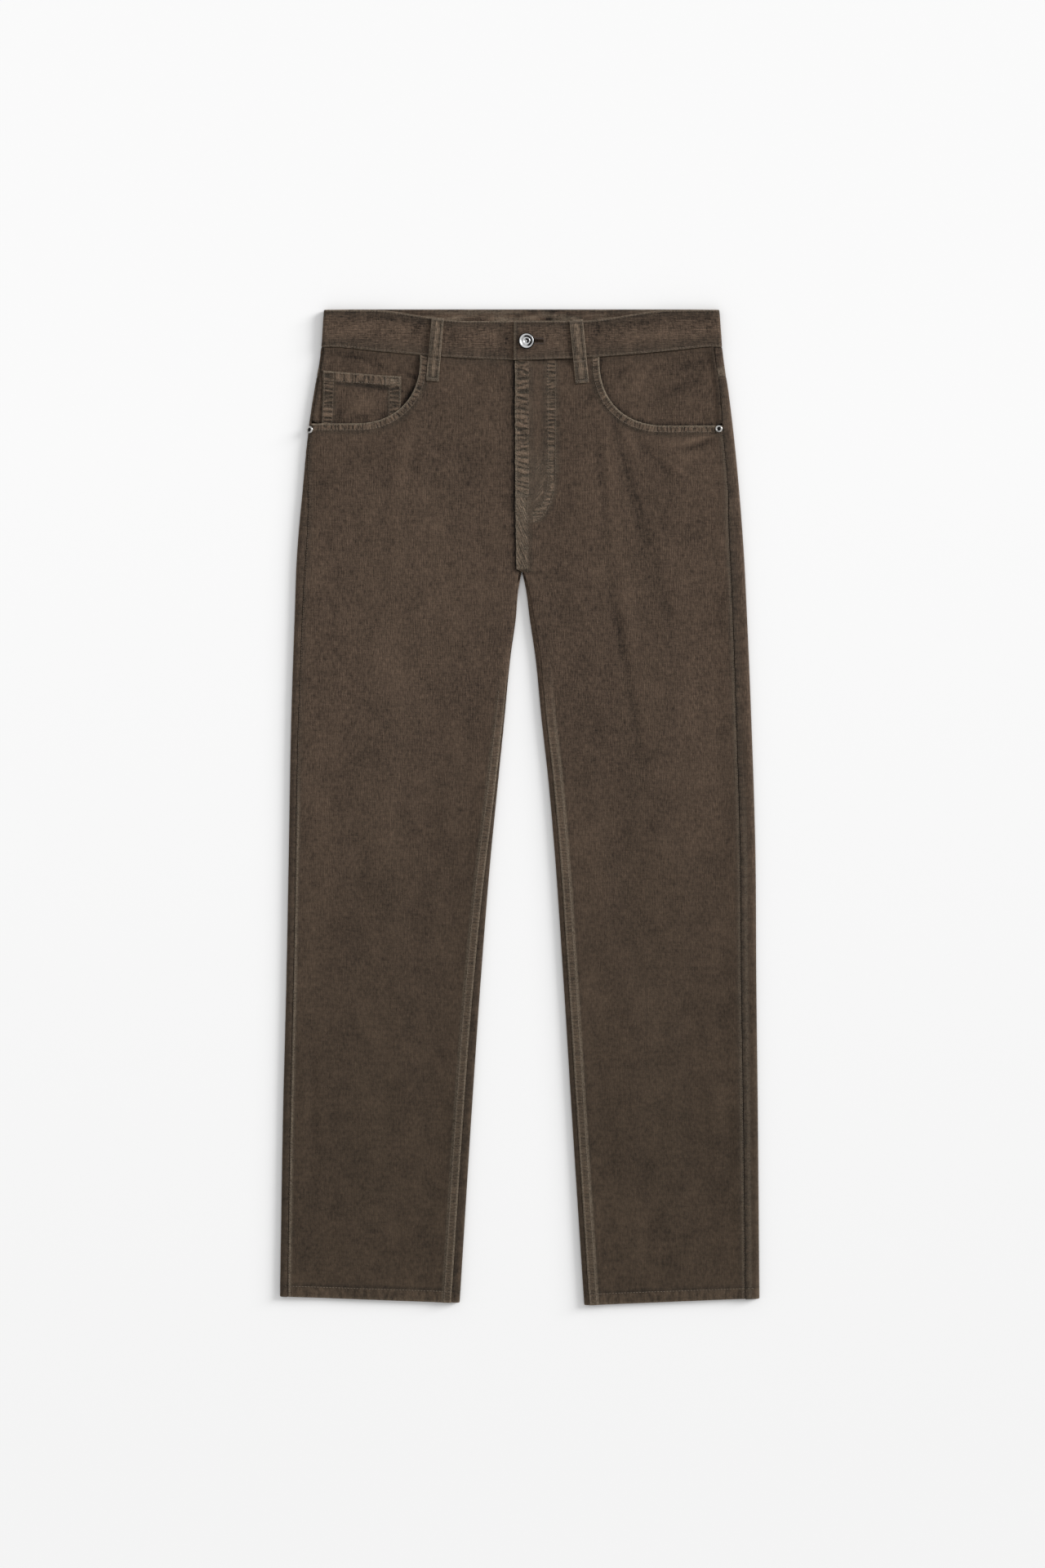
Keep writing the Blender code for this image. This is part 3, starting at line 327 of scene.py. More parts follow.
def node(tree, kind, inputs=(), out=0, **settings):
    """Add one node with its settings and inputs, and give one of its outputs."""
    new = tree.nodes.new("ShaderNode" + kind)
    for key, value in settings.items():
        setattr(new, key, value)
    connect(tree, new, inputs)
    return new.outputs[out]


def new_material(name):
    """A material, its nodes, and its shader."""
    material = bpy.data.materials.new(name)
    material.use_nodes = True
    return material, material.node_tree, material.node_tree.nodes["Principled BSDF"]


def linear(hex_colour):
    """An sRGB hex colour as linear red, green, blue and alpha."""
    srgb = np.array([int(hex_colour[k:k + 2], 16) for k in (1, 3, 5)]) / 255
    high = ((srgb + 0.055) / 1.055) ** 2.4
    return (*np.where(srgb <= 0.04045, srgb / 12.92, high).tolist(), 1.0)


# Patterns of the cloth: what each one follows, the millimetres of its grains across, along and up, the
# detail and roughness of its noise, the part of the noise that it takes, and what that becomes.  Single
# fibres are too fine to show, so the smallest grain is a tuft of 0.9 mm.
Pattern = namedtuple("Pattern", "follows grain detail roughness noise shown")
PATTERNS = {
    "wander": Pattern("cloth", (5, 9, 9), 2, 0.5, (0.3, 0.7), (-0.3 * MM, 0.3 * MM)),
    "tuft": Pattern("cloth", (0.9, 1.4, 1.4), 2, 0.6, (0.28, 0.72), (-0.24, 0.24)),
    "dash": Pattern("cloth", (1.5, 8, 8), 2, 0.6, (0.3, 0.7), (-0.32, 0.36)),
    "weft": Pattern("cloth", (9, 1.5, 9), 2, 0.6, (0.32, 0.68), (-0.19, 0.19)),
    "grain": Pattern("place", (3, 4.6, 4), 3, 0.62, (0.28, 0.72), (-0.25, 0.25)),
    "mottle": Pattern("place", (16, 24, 20), 4, 0.6, (0.28, 0.72), (-0.16, 0.16)),
    "patch": Pattern("place", (60, 85, 65), 4, 0.55, (0.3, 0.7), (0.865, 1.125)),
    "slub": Pattern("place", (48, 5, 30), 3, 0.6, (0.3, 0.7), (-0.06, 0.06)),
    "clear": Pattern("place", (12, 26, 20), 2, 0.5, (0.35, 0.65), (0.3, 1)),
    "chafe": Pattern("place", (1.6, 1.6, 1.6), 2, 0.6, (0.34, 0.62), (0.25, 1)),
    "stagger": Pattern("seam", (9, 22, 9), 1, 0.5, (0.3, 0.7), (-2.4 * MM, 2.4 * MM)),
    "wide": Pattern("seam", (2.3, 13, 9), 1, 0.5, (0.36, 0.64), (-0.36, 0.46)),
    "thin": Pattern("seam", (1, 3.4, 9), 2, 0.65, (0.34, 0.66), (-0.46, 0.5)),
}
LIVELY_LEVELS = (-0.30, 0.16)    # in metres, from low on the legs, where the ribs show least, up to where they show most
TINT_LEVELS = (-0.36, 0.12)
LEG_TINT = "#e0e2dd"      # of the low legs, against white above: the colour darkens down the legs


def corduroy(name, ridge, groove_and_painted_shade, wear_and_highlight, contrast):
    """Washed cotton corduroy, as cut pile in round ribs on a plain ground.

    The ribs catch the light along their crowns and are dark between them, as painted highlight and painted
    shade.  The nap lies unevenly after washing, so the cloth is mottled and streaked along the ribs, and it is
    paler where edges and puckers are worn.  Painted light and shade come on top: the puckers are painted lighter
    on their crowns and darker in their hollows, an attribute paints shade in creases, seams and cast shadows,
    and the pale colour of wear also carries painted light.
    """
    material, tree, shader = new_material(name)
    cloth = node(tree, "UVMap", uv_map="cloth")
    place = node(tree, "TexCoord", out="Object")
    seam = node(tree, "Attribute", out="Vector", attribute_name="gather")
    noise, shown = {}, {}
    for key, pattern in PATTERNS.items():
        follows = {"cloth": cloth, "place": place, "seam": seam}[pattern.follows]
        grains = node(tree, "Mapping", {"Vector": follows, "Scale": [1 / (MM * size) for size in pattern.grain]})
        noise[key] = node(tree, "TexNoise", {"Vector": grains, "Scale": 1, "Detail": pattern.detail,
                                             "Roughness": pattern.roughness})
        shown[key] = node(tree, "MapRange", (noise[key], *pattern.noise, *pattern.shown))

    # The colour darkens down the legs, and less of the ribs shows there
    level = node(tree, "SeparateXYZ", (place,), out="Y")
    lively = node(tree, "MapRange", (level, *LIVELY_LEVELS, 0.4 * contrast, contrast))
    settled = node(tree, "MapRange", (level, *LIVELY_LEVELS, 1.25, 1))
    tint = node(tree, "MapRange", (level, *TINT_LEVELS, 0, 1))
    tint = node(tree, "Mix", {0: tint, 6: linear(LEG_TINT), 7: linear("#ffffff")}, out=2, data_type="RGBA")
    clear = node(tree, "Math", (shown["clear"], lively), operation="MULTIPLY")

    # A rib is |sin|^0.6 of the place across the cloth, and a rung a sine of the place along the seam
    wale = node(tree, "Math", (node(tree, "SeparateXYZ", (cloth,), out="X"), shown["wander"]), operation="ADD")
    for operation, value in (("MULTIPLY", math.pi / (WALE_WIDTH * MM)), ("SINE", 0), ("ABSOLUTE", 0),
                             ("POWER", 0.6)):
        wale = node(tree, "Math", (wale, value), operation=operation)
    rung = node(tree, "Math", (node(tree, "SeparateXYZ", (seam,), out="X"), shown["stagger"]), operation="ADD")
    for operation, value in (("MULTIPLY", 2 * math.pi / (RUNG_PITCH * MM)), ("SINE", 0)):
        rung = node(tree, "Math", (rung, value), operation=operation)
    rung = node(tree, "MapRange", (rung, -1, 0.35, -1.05, 0.6))
    puckers = node(tree, "Math", (rung, 0.72, shown["thin"]), operation="MULTIPLY_ADD")
    puckers = node(tree, "Math", (puckers, shown["wide"]), operation="ADD")
    gathered = node(tree, "SeparateXYZ", (seam,), out="Z")
    puckers = node(tree, "Math", (puckers, gathered), operation="MULTIPLY")
    # Attributes of each point: the relief of its puckers, the paleness of wear and of painted light, and painted
    # shade
    relief, wear_and_painted_light, painted_shade_and_tone = (node(tree, "Attribute", out="Fac", attribute_name=key)
                            for key in ("relief", "wear_and_painted_light", "painted_shade_and_tone"))

    # The tone: random patterns of the pile, then the puckers and their relief painted lighter on the crowns and
    # darker in the hollows, partly as wear and partly as painted light and shade, then the painted shade
    tone = shown["patch"]
    for value, share in ((shown["dash"], lively), (shown["weft"], lively), (shown["tuft"], lively),
                         (shown["mottle"], settled), (shown["grain"], settled), (shown["slub"], settled),
                         (puckers, 0.62), (relief, 0.4), (painted_shade_and_tone, -0.6)):
        tone = node(tree, "Math", (value, share, tone), operation="MULTIPLY_ADD")
    tone = node(tree, "Math", (tone, 0.12), operation="MAXIMUM")
    crown = node(tree, "MapRange", (wale, 0.25, 0.95, -0.42, 0.42))
    crown = node(tree, "Math", (crown, clear, 0.5), operation="MULTIPLY_ADD")
    # Pale colour of wear, which also carries painted light
    wear_and_light_share = node(tree, "Math", (wear_and_painted_light, shown["chafe"]), operation="MULTIPLY")
    colour = linear(groove_and_painted_shade)
    for blend, factor, layer in (("MIX", crown, linear(ridge)), ("MULTIPLY", 1, tone), ("MULTIPLY", 1, tint),
                                 ("MIX", wear_and_light_share, linear(wear_and_highlight))):
        colour = node(tree, "Mix", {0: factor, 6: colour, 7: layer}, out=2, data_type="RGBA", blend_type=blend)

    heights = 0
    for value, share in ((wale, node(tree, "Math", (clear, 0.5), operation="MULTIPLY")),
                         (noise["tuft"], 0.8),
                         (noise["grain"], node(tree, "Math", (lively, 2), operation="MULTIPLY")),
                         (puckers, 1.2)):
        heights = node(tree, "Math", (value, share, heights), operation="MULTIPLY_ADD")
    bump = node(tree, "Bump", {"Strength": 0.8, "Distance": 0.45 * MM, "Height": heights})
    connect(tree, shader, {"Base Color": colour, "Normal": bump, "Roughness": 0.92, "Specular IOR Level": 0.22,
                           "Sheen Weight": 0.22, "Sheen Roughness": 0.45, "Sheen Tint": linear("#a8937c")})
    return material


def outward(grid, faces_up):
    """Unit normals of a grid, from the cross product of its steps down and along, facing out.

    Out is up at the grid's first corner, or down where faces_up is False.
    """
    normal = np.cross(np.gradient(grid, axis=0), np.gradient(grid, axis=1))
    normal /= np.linalg.norm(normal, axis=2, keepdims=True) + 1e-12
    first_up = np.mean(normal[:3, :3, 2]) > 0
    return normal if first_up == faces_up else -normal


def add_object(name, data):
    """An object at the origin, in the scene."""
    piece = bpy.data.objects.new(name, data)
    bpy.context.scene.collection.objects.link(piece)
    return piece


def put_mesh(name, points, faces, material, smooth=True):
    """An object from points in millimetres and arrays of faces, each array with one number of sides."""
    mesh = bpy.data.meshes.new(name)
    mesh.from_pydata((points * MM).tolist(), [], [face for array in faces for face in array.tolist()])
    mesh.materials.append(material)
    if smooth:
        mesh.shade_smooth()
    return add_object(name, mesh)


def set_attribute(piece, name, values, kind="FLOAT"):
    """One value, or one vector, for each point of a mesh."""
    layer = piece.data.attributes.new(name, kind, "POINT")
    layer.data.foreach_set("vector" if kind == "FLOAT_VECTOR" else "value", values.astype(np.float32).ravel())


def quads_between(first, second):
    """Four-sided faces between two rings of point numbers, or two stacks of rings."""
    return np.stack([first, second, np.roll(second, -1, -1), np.roll(first, -1, -1)], axis=-1).reshape(-1, 4)


def cloth_shell(name, grid, thickness, cloth_uv, gathers, wear_and_painted_light, painted_shade_and_tone, material, faces_up=True,
                inside_wear_light_and_shade=None):
    """One cut piece as a closed shell, with the place of each point on the cloth.

    The outer grid is joined to the same grid moved inwards through the thickness by a rim, whose
    edges are rounded by a quarter of the thickness.  Puckers move the outer grid by up to PUCKER, and
    on the underside only inwards.  The inside takes INSIDE_SHARE of the outside's wear, painted light and
    painted shade, or what is given.
    """
    shape = grid.shape[:2]
    count = shape[0] * shape[1]
    thickness = np.broadcast_to(thickness, shape)[..., None]
    relief = np.broadcast_to(pucker(gathers), shape)
    normal = outward(grid, faces_up)
    edge = np.ones(shape)
    edge[1:-1, 1:-1] = 0
    under = np.clip(-normal[..., 2], 0, 1)
    rounding = 0.25 * thickness * edge[..., None]
    lift = np.where(edge > 0, 0, PUCKER * (relief - under * gathers.strength))[..., None]
    outside = grid + normal * (lift - rounding)
    inside = grid + normal * (rounding - thickness)
    number = np.arange(count).reshape(shape)
    quads = np.stack([number[:-1, :-1], number[:-1, 1:], number[1:, 1:], number[1:, :-1]], axis=2)
    quads = quads.reshape(-1, 4)
    rim = np.concatenate([number[0, :-1], number[:-1, -1], number[-1, :0:-1], number[:0:-1, 0]])
    ahead = np.roll(rim, -1)
    band = np.stack([ahead, rim, rim + count, ahead + count], axis=1)
    faces = np.concatenate([quads, quads[:, ::-1] + count, band])
    if np.dot(np.cross(grid[0, 1] - grid[0, 0], grid[1, 0] - grid[0, 0]), normal[0, 0]) < 0:
        faces = faces[:, ::-1]
    piece = put_mesh(name, np.concatenate([outside.reshape(-1, 3), inside.reshape(-1, 3)]), [faces], material)
    corners = np.empty(len(piece.data.loops), dtype=np.int32)
    piece.data.loops.foreach_get("vertex_index", corners)
    uv = np.stack([np.broadcast_to(part, shape) for part in cloth_uv], axis=2).reshape(-1, 2) * MM
    uv_layer = piece.data.uv_layers.new(name="cloth")
    uv_layer.data.foreach_set("uv", np.tile(uv, (2, 1))[corners].astype(np.float32).ravel())
    seam = np.stack([gathers.along * MM, gathers.distance * MM, gathers.strength], axis=2).reshape(-1, 3)
    set_attribute(piece, "gather", np.tile(seam, (2, 1)), "FLOAT_VECTOR")
    inner_wear_and_painted_light, inner_painted_shade_and_tone = inside_wear_light_and_shade or (INSIDE_SHARE * wear_and_painted_light, INSIDE_SHARE * painted_shade_and_tone)
    for key, *both in (("relief", relief, INSIDE_SHARE * relief), ("wear_and_painted_light", wear_and_painted_light, inner_wear_and_painted_light),
                       ("painted_shade_and_tone", painted_shade_and_tone, inner_painted_shade_and_tone)):
        set_attribute(piece, key, np.concatenate([np.broadcast_to(part, shape).ravel() for part in both]))
    return piece


def lay_cloth(piece, grid, replaced):
    """Attach a laid cloth piece to the root and hide the part it replaces.  Its cut's width, as of its
    longest row, its length, as of its longest column, and its area, that of the grid, are worked out but not
    used."""
    down = np.linalg.norm(np.diff(grid, axis=0), axis=2)
    along = np.linalg.norm(np.diff(grid, axis=1), axis=2)
    corner = np.cross(grid[1:, 1:] - grid[:-1, :-1], grid[1:, :-1] - grid[:-1, 1:])
    area = 0.5 * np.sum(np.linalg.norm(corner, axis=2))
    width, length = along.sum(axis=1).max(), down.sum(axis=0).max()
    area = min(area, width * length)
    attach(piece, "root")
    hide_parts(replaced)


def in_place(side, a, y, z):
    """Points of one half, given by three arrays of one shape, set in place."""
    return np.stack(np.broadcast_arrays(to_x(side, a), y, z), axis=-1)


def spaced(*stretches):
    """Steps along several stretches, each given as (start, end, count), joined without doubles."""
    runs = [np.linspace(start, end, count + 1)[:-1] for start, end, count in stretches]
    return np.concatenate([*runs, [stretches[-1][1]]])


def thread(name, light, dark):
    """Spun polyester sewing thread, dyed with the cloth: a soft twist with a slight gloss.

    Its real strands, of 0.1 mm, are too fine to show, so 0.9 are drawn to the millimetre.
    """
    material, tree, shader = new_material(name)
    place = node(tree, "TexCoord", out="Object")
    strands = node(tree, "TexNoise", {"Vector": place, "Scale": 0.9 / MM, "Detail": 3})
    faded = node(tree, "TexNoise", {"Vector": place, "Scale": 0.06 / MM, "Detail": 2})
    shade = node(tree, "Math", (strands, faded, 0.5), operation="MULTIPLY_ADD")
    colour = node(tree, "Mix", {0: shade, 6: linear(dark), 7: linear(light)}, out=2, data_type="RGBA")
    bump = node(tree, "Bump", {"Strength": 0.5, "Distance": 0.1 * MM, "Height": strands})
    connect(tree, shader, {"Base Color": colour, "Normal": bump, "Roughness": 0.62, "Sheen Weight": 0.15})
    return material


THREAD_RADIUS = 0.3
STITCH_PITCH = 3.3
STITCH_LENGTH = 2.5


def distances(steps, axis=0):
    """How far along each point lies, from 0 at the first, given the lengths of the steps between them."""
    total = np.cumsum(steps, axis=axis)
    return np.concatenate([0 * np.take(total, [0], axis=axis), total], axis=axis)


def row_of_stitches(path, pitch=STITCH_PITCH, length=STITCH_LENGTH):
    """Stitches along a path of points, as five stations each, evenly spaced by the arc length."""
    so_far = distances(np.linalg.norm(np.diff(path, axis=0), axis=1))
    count = max(1, int(so_far[-1] / pitch))
    middle = (np.arange(count) + 0.5) * so_far[-1] / count
    where = middle[:, None] + length * np.array([-0.5, -0.3, 0, 0.3, 0.5])
    return np.stack([np.interp(where, so_far, path[:, k]) for k in range(3)], axis=2)


def sew(name, groups, up=1, material=None):
    """Thread as tubes of four sides: each stitch comes up out of the cloth, arches and goes down."""
    middle = np.concatenate(groups)
    ahead = np.gradient(middle, axis=1)
    ahead /= np.linalg.norm(ahead, axis=2, keepdims=True) + 1e-9
    right = np.cross(ahead, up * UP)
    right /= np.linalg.norm(right, axis=2, keepdims=True) + 1e-9
    above = np.cross(right, ahead)
    arch = np.array([-0.5, 0.45, 0.7, 0.45, -0.5])[:, None] * THREAD_RADIUS
    radius = np.array([0.7, 1, 1, 1, 0.7])[:, None] * THREAD_RADIUS
    corner = [(math.cos(turn), math.sin(turn)) for turn in np.radians((45, 135, 225, 315))]
    ring = np.stack([middle + above * (arch + radius * high) + right * radius * wide for wide, high in corner],
                    axis=2)
    number = np.arange(ring.size // 3).reshape(ring.shape[:3])
    faces = [quads_between(number[:, :-1], number[:, 1:]), number[:, 0], number[:, -1, ::-1]]
    piece = put_mesh(name, ring.reshape(-1, 3), faces, material or THREAD)
    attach(piece, "root")


THREAD = thread("spun_polyester_thread", "#736453", "#43382e")
CORDUROY = corduroy("washed_cotton_corduroy", "#534438", "#3b3027", "#a49581", 1)


def back_levels(side):
    """Rows of a back as levels at the side and at the centre or inside leg, from yoke to hem."""
    low_side, low_inside = HEM_Y[side]
    seat_side = spaced((YOKE_SIDE_Y - GAP / 2, SEAT_END_Y, 76))
    seat_centre = spaced((YOKE_CENTRE_Y - GAP / 2, SEAT_END_Y, 76))
    crotch = spaced((SEAT_END_Y - 1.6, BACK_LEG_Y, 4), (BACK_LEG_Y, WRAPPED_LEG_Y, 4))
    step = HEM_HEIGHT + 1
    t = spaced((0.008, 1, 262))
    return [np.concatenate([seat, crotch, mix(WRAPPED_LEG_Y, low + step, t), low + HEM_LEVELS])[:, None]
            for seat, low in ((seat_side, low_side), (seat_centre, low_inside))]


def fold_round(side, side_y, centre_y):
    """Rows that run from the side seam round to the inseam, or to the centre-back seam, as (a, y, z).

    Over the upper side each fold is a quarter turn of the inset's cosine, then a quarter circle of the
    lower radius leads to the flat underside.  At the crotch the folded inside leg fades into the seat.
    """
    turn = np.linspace(0, math.pi / 2, FOLD_COLUMNS)
    corner = np.linspace(0, math.pi / 2, 6)[1:]
    edge = outer(side, side_y)
    over = (edge - side_seam(side, side_y) - GAP / 2) * np.cos(turn)
    a_first = np.concatenate([edge - over, edge - FOLD_LOW * (1 - np.cos(corner)) + 0 * side_y], axis=1)
    z_over = top(side, edge - over, side_y)
    z_first = np.concatenate([z_over, FOLD_LOW * (1 - np.sin(corner)) + 0 * side_y], axis=1)

    fold = inner(side, centre_y)
    wrapped = rise(BACK_LEG_Y - centre_y, 0, BACK_LEG_Y - WRAPPED_LEG_Y)
    under = wrapped * (inseam(side, centre_y) - fold - GAP / 2) * np.cos(turn[::-1])
    a_leg = np.concatenate([fold + FOLD_LOW * (1 - np.cos(corner[::-1])), fold + under], axis=1)
    z_leg = mix(FOLD_LOW, top(side, fold + under, centre_y), wrapped)
    z_leg = np.concatenate([FOLD_LOW * (1 - np.sin(corner[::-1])) + 0 * centre_y, z_leg], axis=1)
    t = np.linspace(0, 1, a_leg.shape[1])
    a_seat = mix(12 + 0.25 * np.clip(centre_y - CROTCH_Y, 0, None), GAP / 2, t)
    on_seat = rise(centre_y, BACK_LEG_Y, SEAT_END_Y - BACK_LEG_Y)
    a_last = mix(a_leg, a_seat, on_seat)
    flat = np.linspace(0, 1, 40)[1:-1]
    a = np.concatenate([a_first, mix(a_first[:, -1:], a_last[:, :1], flat), a_last], axis=1)
    inner_end = mix(fold, 0, on_seat)
    y = mix(side_y, centre_y, (edge - a) / (edge - inner_end))
    flat_z = base(side, a, y)
    first, last = a_first.shape[1], a_last.shape[1]
    z_last = mix(z_leg, flat_z[:, -last:], on_seat)
    z = np.concatenate([z_first, flat_z[:, first:-last], z_last], axis=1)
    return a, y, z


def below_crotch(y):
    """From 0 at the crotch to 1 where the inseam lies open: near the crotch it is pressed flat."""
    return rise(170 - y, 0, 130)


def around(a, z):
    """How far round a row each point lies, from the widest point of the side fold."""
    length = distances(np.hypot(np.diff(a, axis=1), np.diff(z, axis=1)), axis=1)
    return length - length[:, FOLD_COLUMNS - 1:FOLD_COLUMNS]


for side in ("right", "left"):
    side_y, centre_y = back_levels(side)
    a, y, z = fold_round(side, side_y, centre_y)
    on_top = np.arange(a.shape[1]) < FOLD_COLUMNS
    near_inside = on_top[::-1]
    from_side_seam = np.where(on_top, a - side_seam(side, y), FAR)
    from_inseam = np.where(near_inside & (y < CROTCH_Y), inseam(side, y) - a, FAR)
    from_hem = y - hem_y(side, a)
    from_yoke = mix(YOKE_SIDE_Y, YOKE_CENTRE_Y, 1 - a / outer(side, YOKE_SIDE_Y)) - y
    from_centre = np.where(y > CROTCH_Y, a, FAR)
    gathers = strongest([
        gather(0.8 * y, from_side_seam, 7, 1.15 if side == "left" else 0.7),
        gather(1.2 * y, from_inseam, 4, 0.5 * below_crotch(y)),
        gather(0.45 * a, from_hem - 6, 3.5, 0.4, flat=6), gather(a, from_yoke, 8, 0.8),
        gather(y, from_centre, 8, 0.8),
    ])
    wear_and_painted_light = lines((0.25, from_hem, 1.4)) + 0.08 * gathers.strength
    strip = near_inside * below_crotch(y)
    # Painted shade at the hem's row and along the side seam.  On the left leg the inside-leg strip is painted
    # lighter against the shadow that the ridge casts on it, and on the right it is painted darker, as shade on a
    # strip that faces the light
    if side == "left":
        painted_shade_and_tone = lines((0.4, from_hem - 12.6, 1), (1.1, from_side_seam, 2)) - 0.25 * strip
        wear_and_painted_light = wear_and_painted_light + lines((0.20 * rise(60 - y, 0, 120), from_side_seam - 5.5, 1.8))
    else:
        painted_shade_and_tone = lines((0.4, from_hem - 12.6, 1), (0.4, from_side_seam, 1.1), (0.25 * strip, from_inseam, 2.2))
        painted_shade_and_tone = painted_shade_and_tone + 0.22 * strip
    thickness = mix(HEM_THICKNESS, CLOTH, rise(from_hem, HEM_HEIGHT, 1))
    grid = in_place(side, a, y, z)
    piece = cloth_shell("back_panel_" + side, grid, thickness, (around(a, z), y), gathers, wear_and_painted_light, painted_shade_and_tone,
                        CORDUROY)
    lay_cloth(piece, grid, "back_" + side)

    # The hem's row, under the garment and on the strips beside the seams, and the rows of the yoke and
    # of the centre back
    low_side, low_inside = HEM_Y[side]
    leg_a = np.linspace(outer(side, low_side) - 3, inner(side, low_inside) + 3, 120)
    strip_a = outer(side, low_side) - np.linspace(6, 14 if side == "left" else 7, 12)
    strip_y = hem_y(side, strip_a) + HEM_ROW
    seat_a = np.linspace(outer(side, 440) - 8, 1.5, 120)
    yoke_y = mix(YOKE_SIDE_Y, YOKE_CENTRE_Y, 1 - seat_a / outer(side, YOKE_SIDE_Y))
    rows = [(leg_a, hem_y(side, leg_a) + HEM_ROW)] + [(seat_a, yoke_y - inset) for inset in YOKE_ROWS]
    if side == "left":
        seat_y = np.linspace(YOKE_CENTRE_Y - 3, SEAT_END_Y, 90)
        rows += [(np.full(90, inset), seat_y) for inset in SEAT_ROWS]
    sew("stitches_under_back_" + side,
        [row_of_stitches(in_place(side, *row, base(side, *row) + THREAD_RADIUS)) for row in rows], up=-1)
    sew("stitches_hem_side_" + side,
        [row_of_stitches(in_place(side, strip_a, strip_y, top(side, strip_a, strip_y)))])


# ---------------------------------------------------------------- yokes
# The two shaped pieces between the waistband and the backs, felled to the backs with two rows of
# stitches.  Their ends fold round the sides, and the left one's shows beside the pocket.

for side in ("right", "left"):
    side_y = spaced((BAND_LOW_Y - GAP, YOKE_SIDE_Y + GAP / 2, 16))[:, None]
    centre_y = spaced((BAND_LOW_Y - GAP, YOKE_CENTRE_Y + GAP / 2, 16))[:, None]
    a, y, z = fold_round(side, side_y, centre_y)
    from_side_seam = np.where(np.arange(a.shape[1]) < FOLD_COLUMNS, a - side_seam(side, y), FAR)
    down = np.clip((BAND_LOW_Y - GAP - y) / (BAND_LOW_Y - GAP - y[-1:]), 0, 1)
    to_back = (1 - down) * (BAND_LOW_Y - y[-1:])
    gathers = strongest([
        gather(1.1 * y, from_side_seam, 6), gather(a, to_back, 10, 0.9), gather(a, BAND_LOW_Y - y, 6, 0.6),
        gather(y, a, 8, 0.8),
    ])
    wear_and_painted_light = lines((0.30, to_back, 1.6), (0.45 * (from_side_seam < 30), to_back - 5, 5))
    # Painted shade along the side seam and under the waistband
    painted_shade_and_tone = lines((0.6, from_side_seam, 1.1), (0.5, BAND_LOW_Y - y, 1.2))
    grid = in_place(side, a, y, z)
    piece = cloth_shell("yoke_panel_" + side, grid, CLOTH, (around(a, z), y), gathers, wear_and_painted_light, painted_shade_and_tone, CORDUROY)
    lay_cloth(piece, grid, "yoke_" + side)


# ---------------------------------------------------------------- fronts
# Two front panels.  The pocket edge is a curved scoop, turned in and sewn with two rows.  The left
# front closes over the right one at the fly, whose facing is held by a J of two rows, and the felled
# inseams stand up as ridges.

FRONT_LEG_Y = 258         # the legs of the fronts begin here
SIDE_SETBACK = 0.35       # of the side edge from the seam, so that the back's edge shows
SIDE_COLUMNS = np.array([0, 0.9, 2, 3.4, 5.2, 7.6, 10.4])    # close columns inside each edge
CENTRE_COLUMNS = np.array([15, 12, 10, 8.8, 7.8, 6.6, 5.2, 3.4, 2, 0.9, 0])
WALE_LEAN_DEGREES = 2.4   # the grain follows the legs, which lean outwards
WALE_LEAN_FROM_Y = 300
SCOOP_HEM = 8
SCOOP_HEM_RISE = 0.5
SCOOP_ROWS = (1.9, SCOOP_HEM - 1)
SEAM_RIDGE = 9.6          # width of the felled inseam
SEAM_RIDGE_RISE = 0.6
INSEAM_ROWS = (2, SEAM_RIDGE - 1.1)
FLY_EDGE = -7.4
FLY_UNDERLAP = 10
FLY_LOW_EDGE = -6.3
FLY_LOW_UNDER = 4.5
FLY_FACING_RISE = 0.7
FLY_LOW_Y = 385
FLY_END_Y = 313.5         # lower end of the J
FLY_TURN_Y = 366          # the J is straight above here
FLY_HOLLOWS = (343.3, 324.1, 286.6)    # levels beside its bar tacks, where painted shade stands for dips in the cloth
FLY_BARS = ((341.5, -5.6, 6.4), (322.5, -5.2, 6.2), (285, -1, 7))    # level, start and end of each tack
FLY_ROWS = (0, 8)         # insets of the rows of the J
CROTCH_ROWS = (0.5, 6)
FLY_J_OUTER = 36.7
FLY_J_FOOT = 7.9
BAND_DIP_LOW = 14.5
BAND_DIP_POWER = 1.6
BAND_STRAIGHT = 200

Scoop = namedtuple("Scoop", "top_a top_y low_y")
SCOOP = {"right": Scoop(112, 495.7, 422.1), "left": Scoop(85.2, 493.3, 419.9)}
SCOOP_RADIUS = 74
SCOOP_POWER = 2.3         # 2 is a circle, and more is squarer

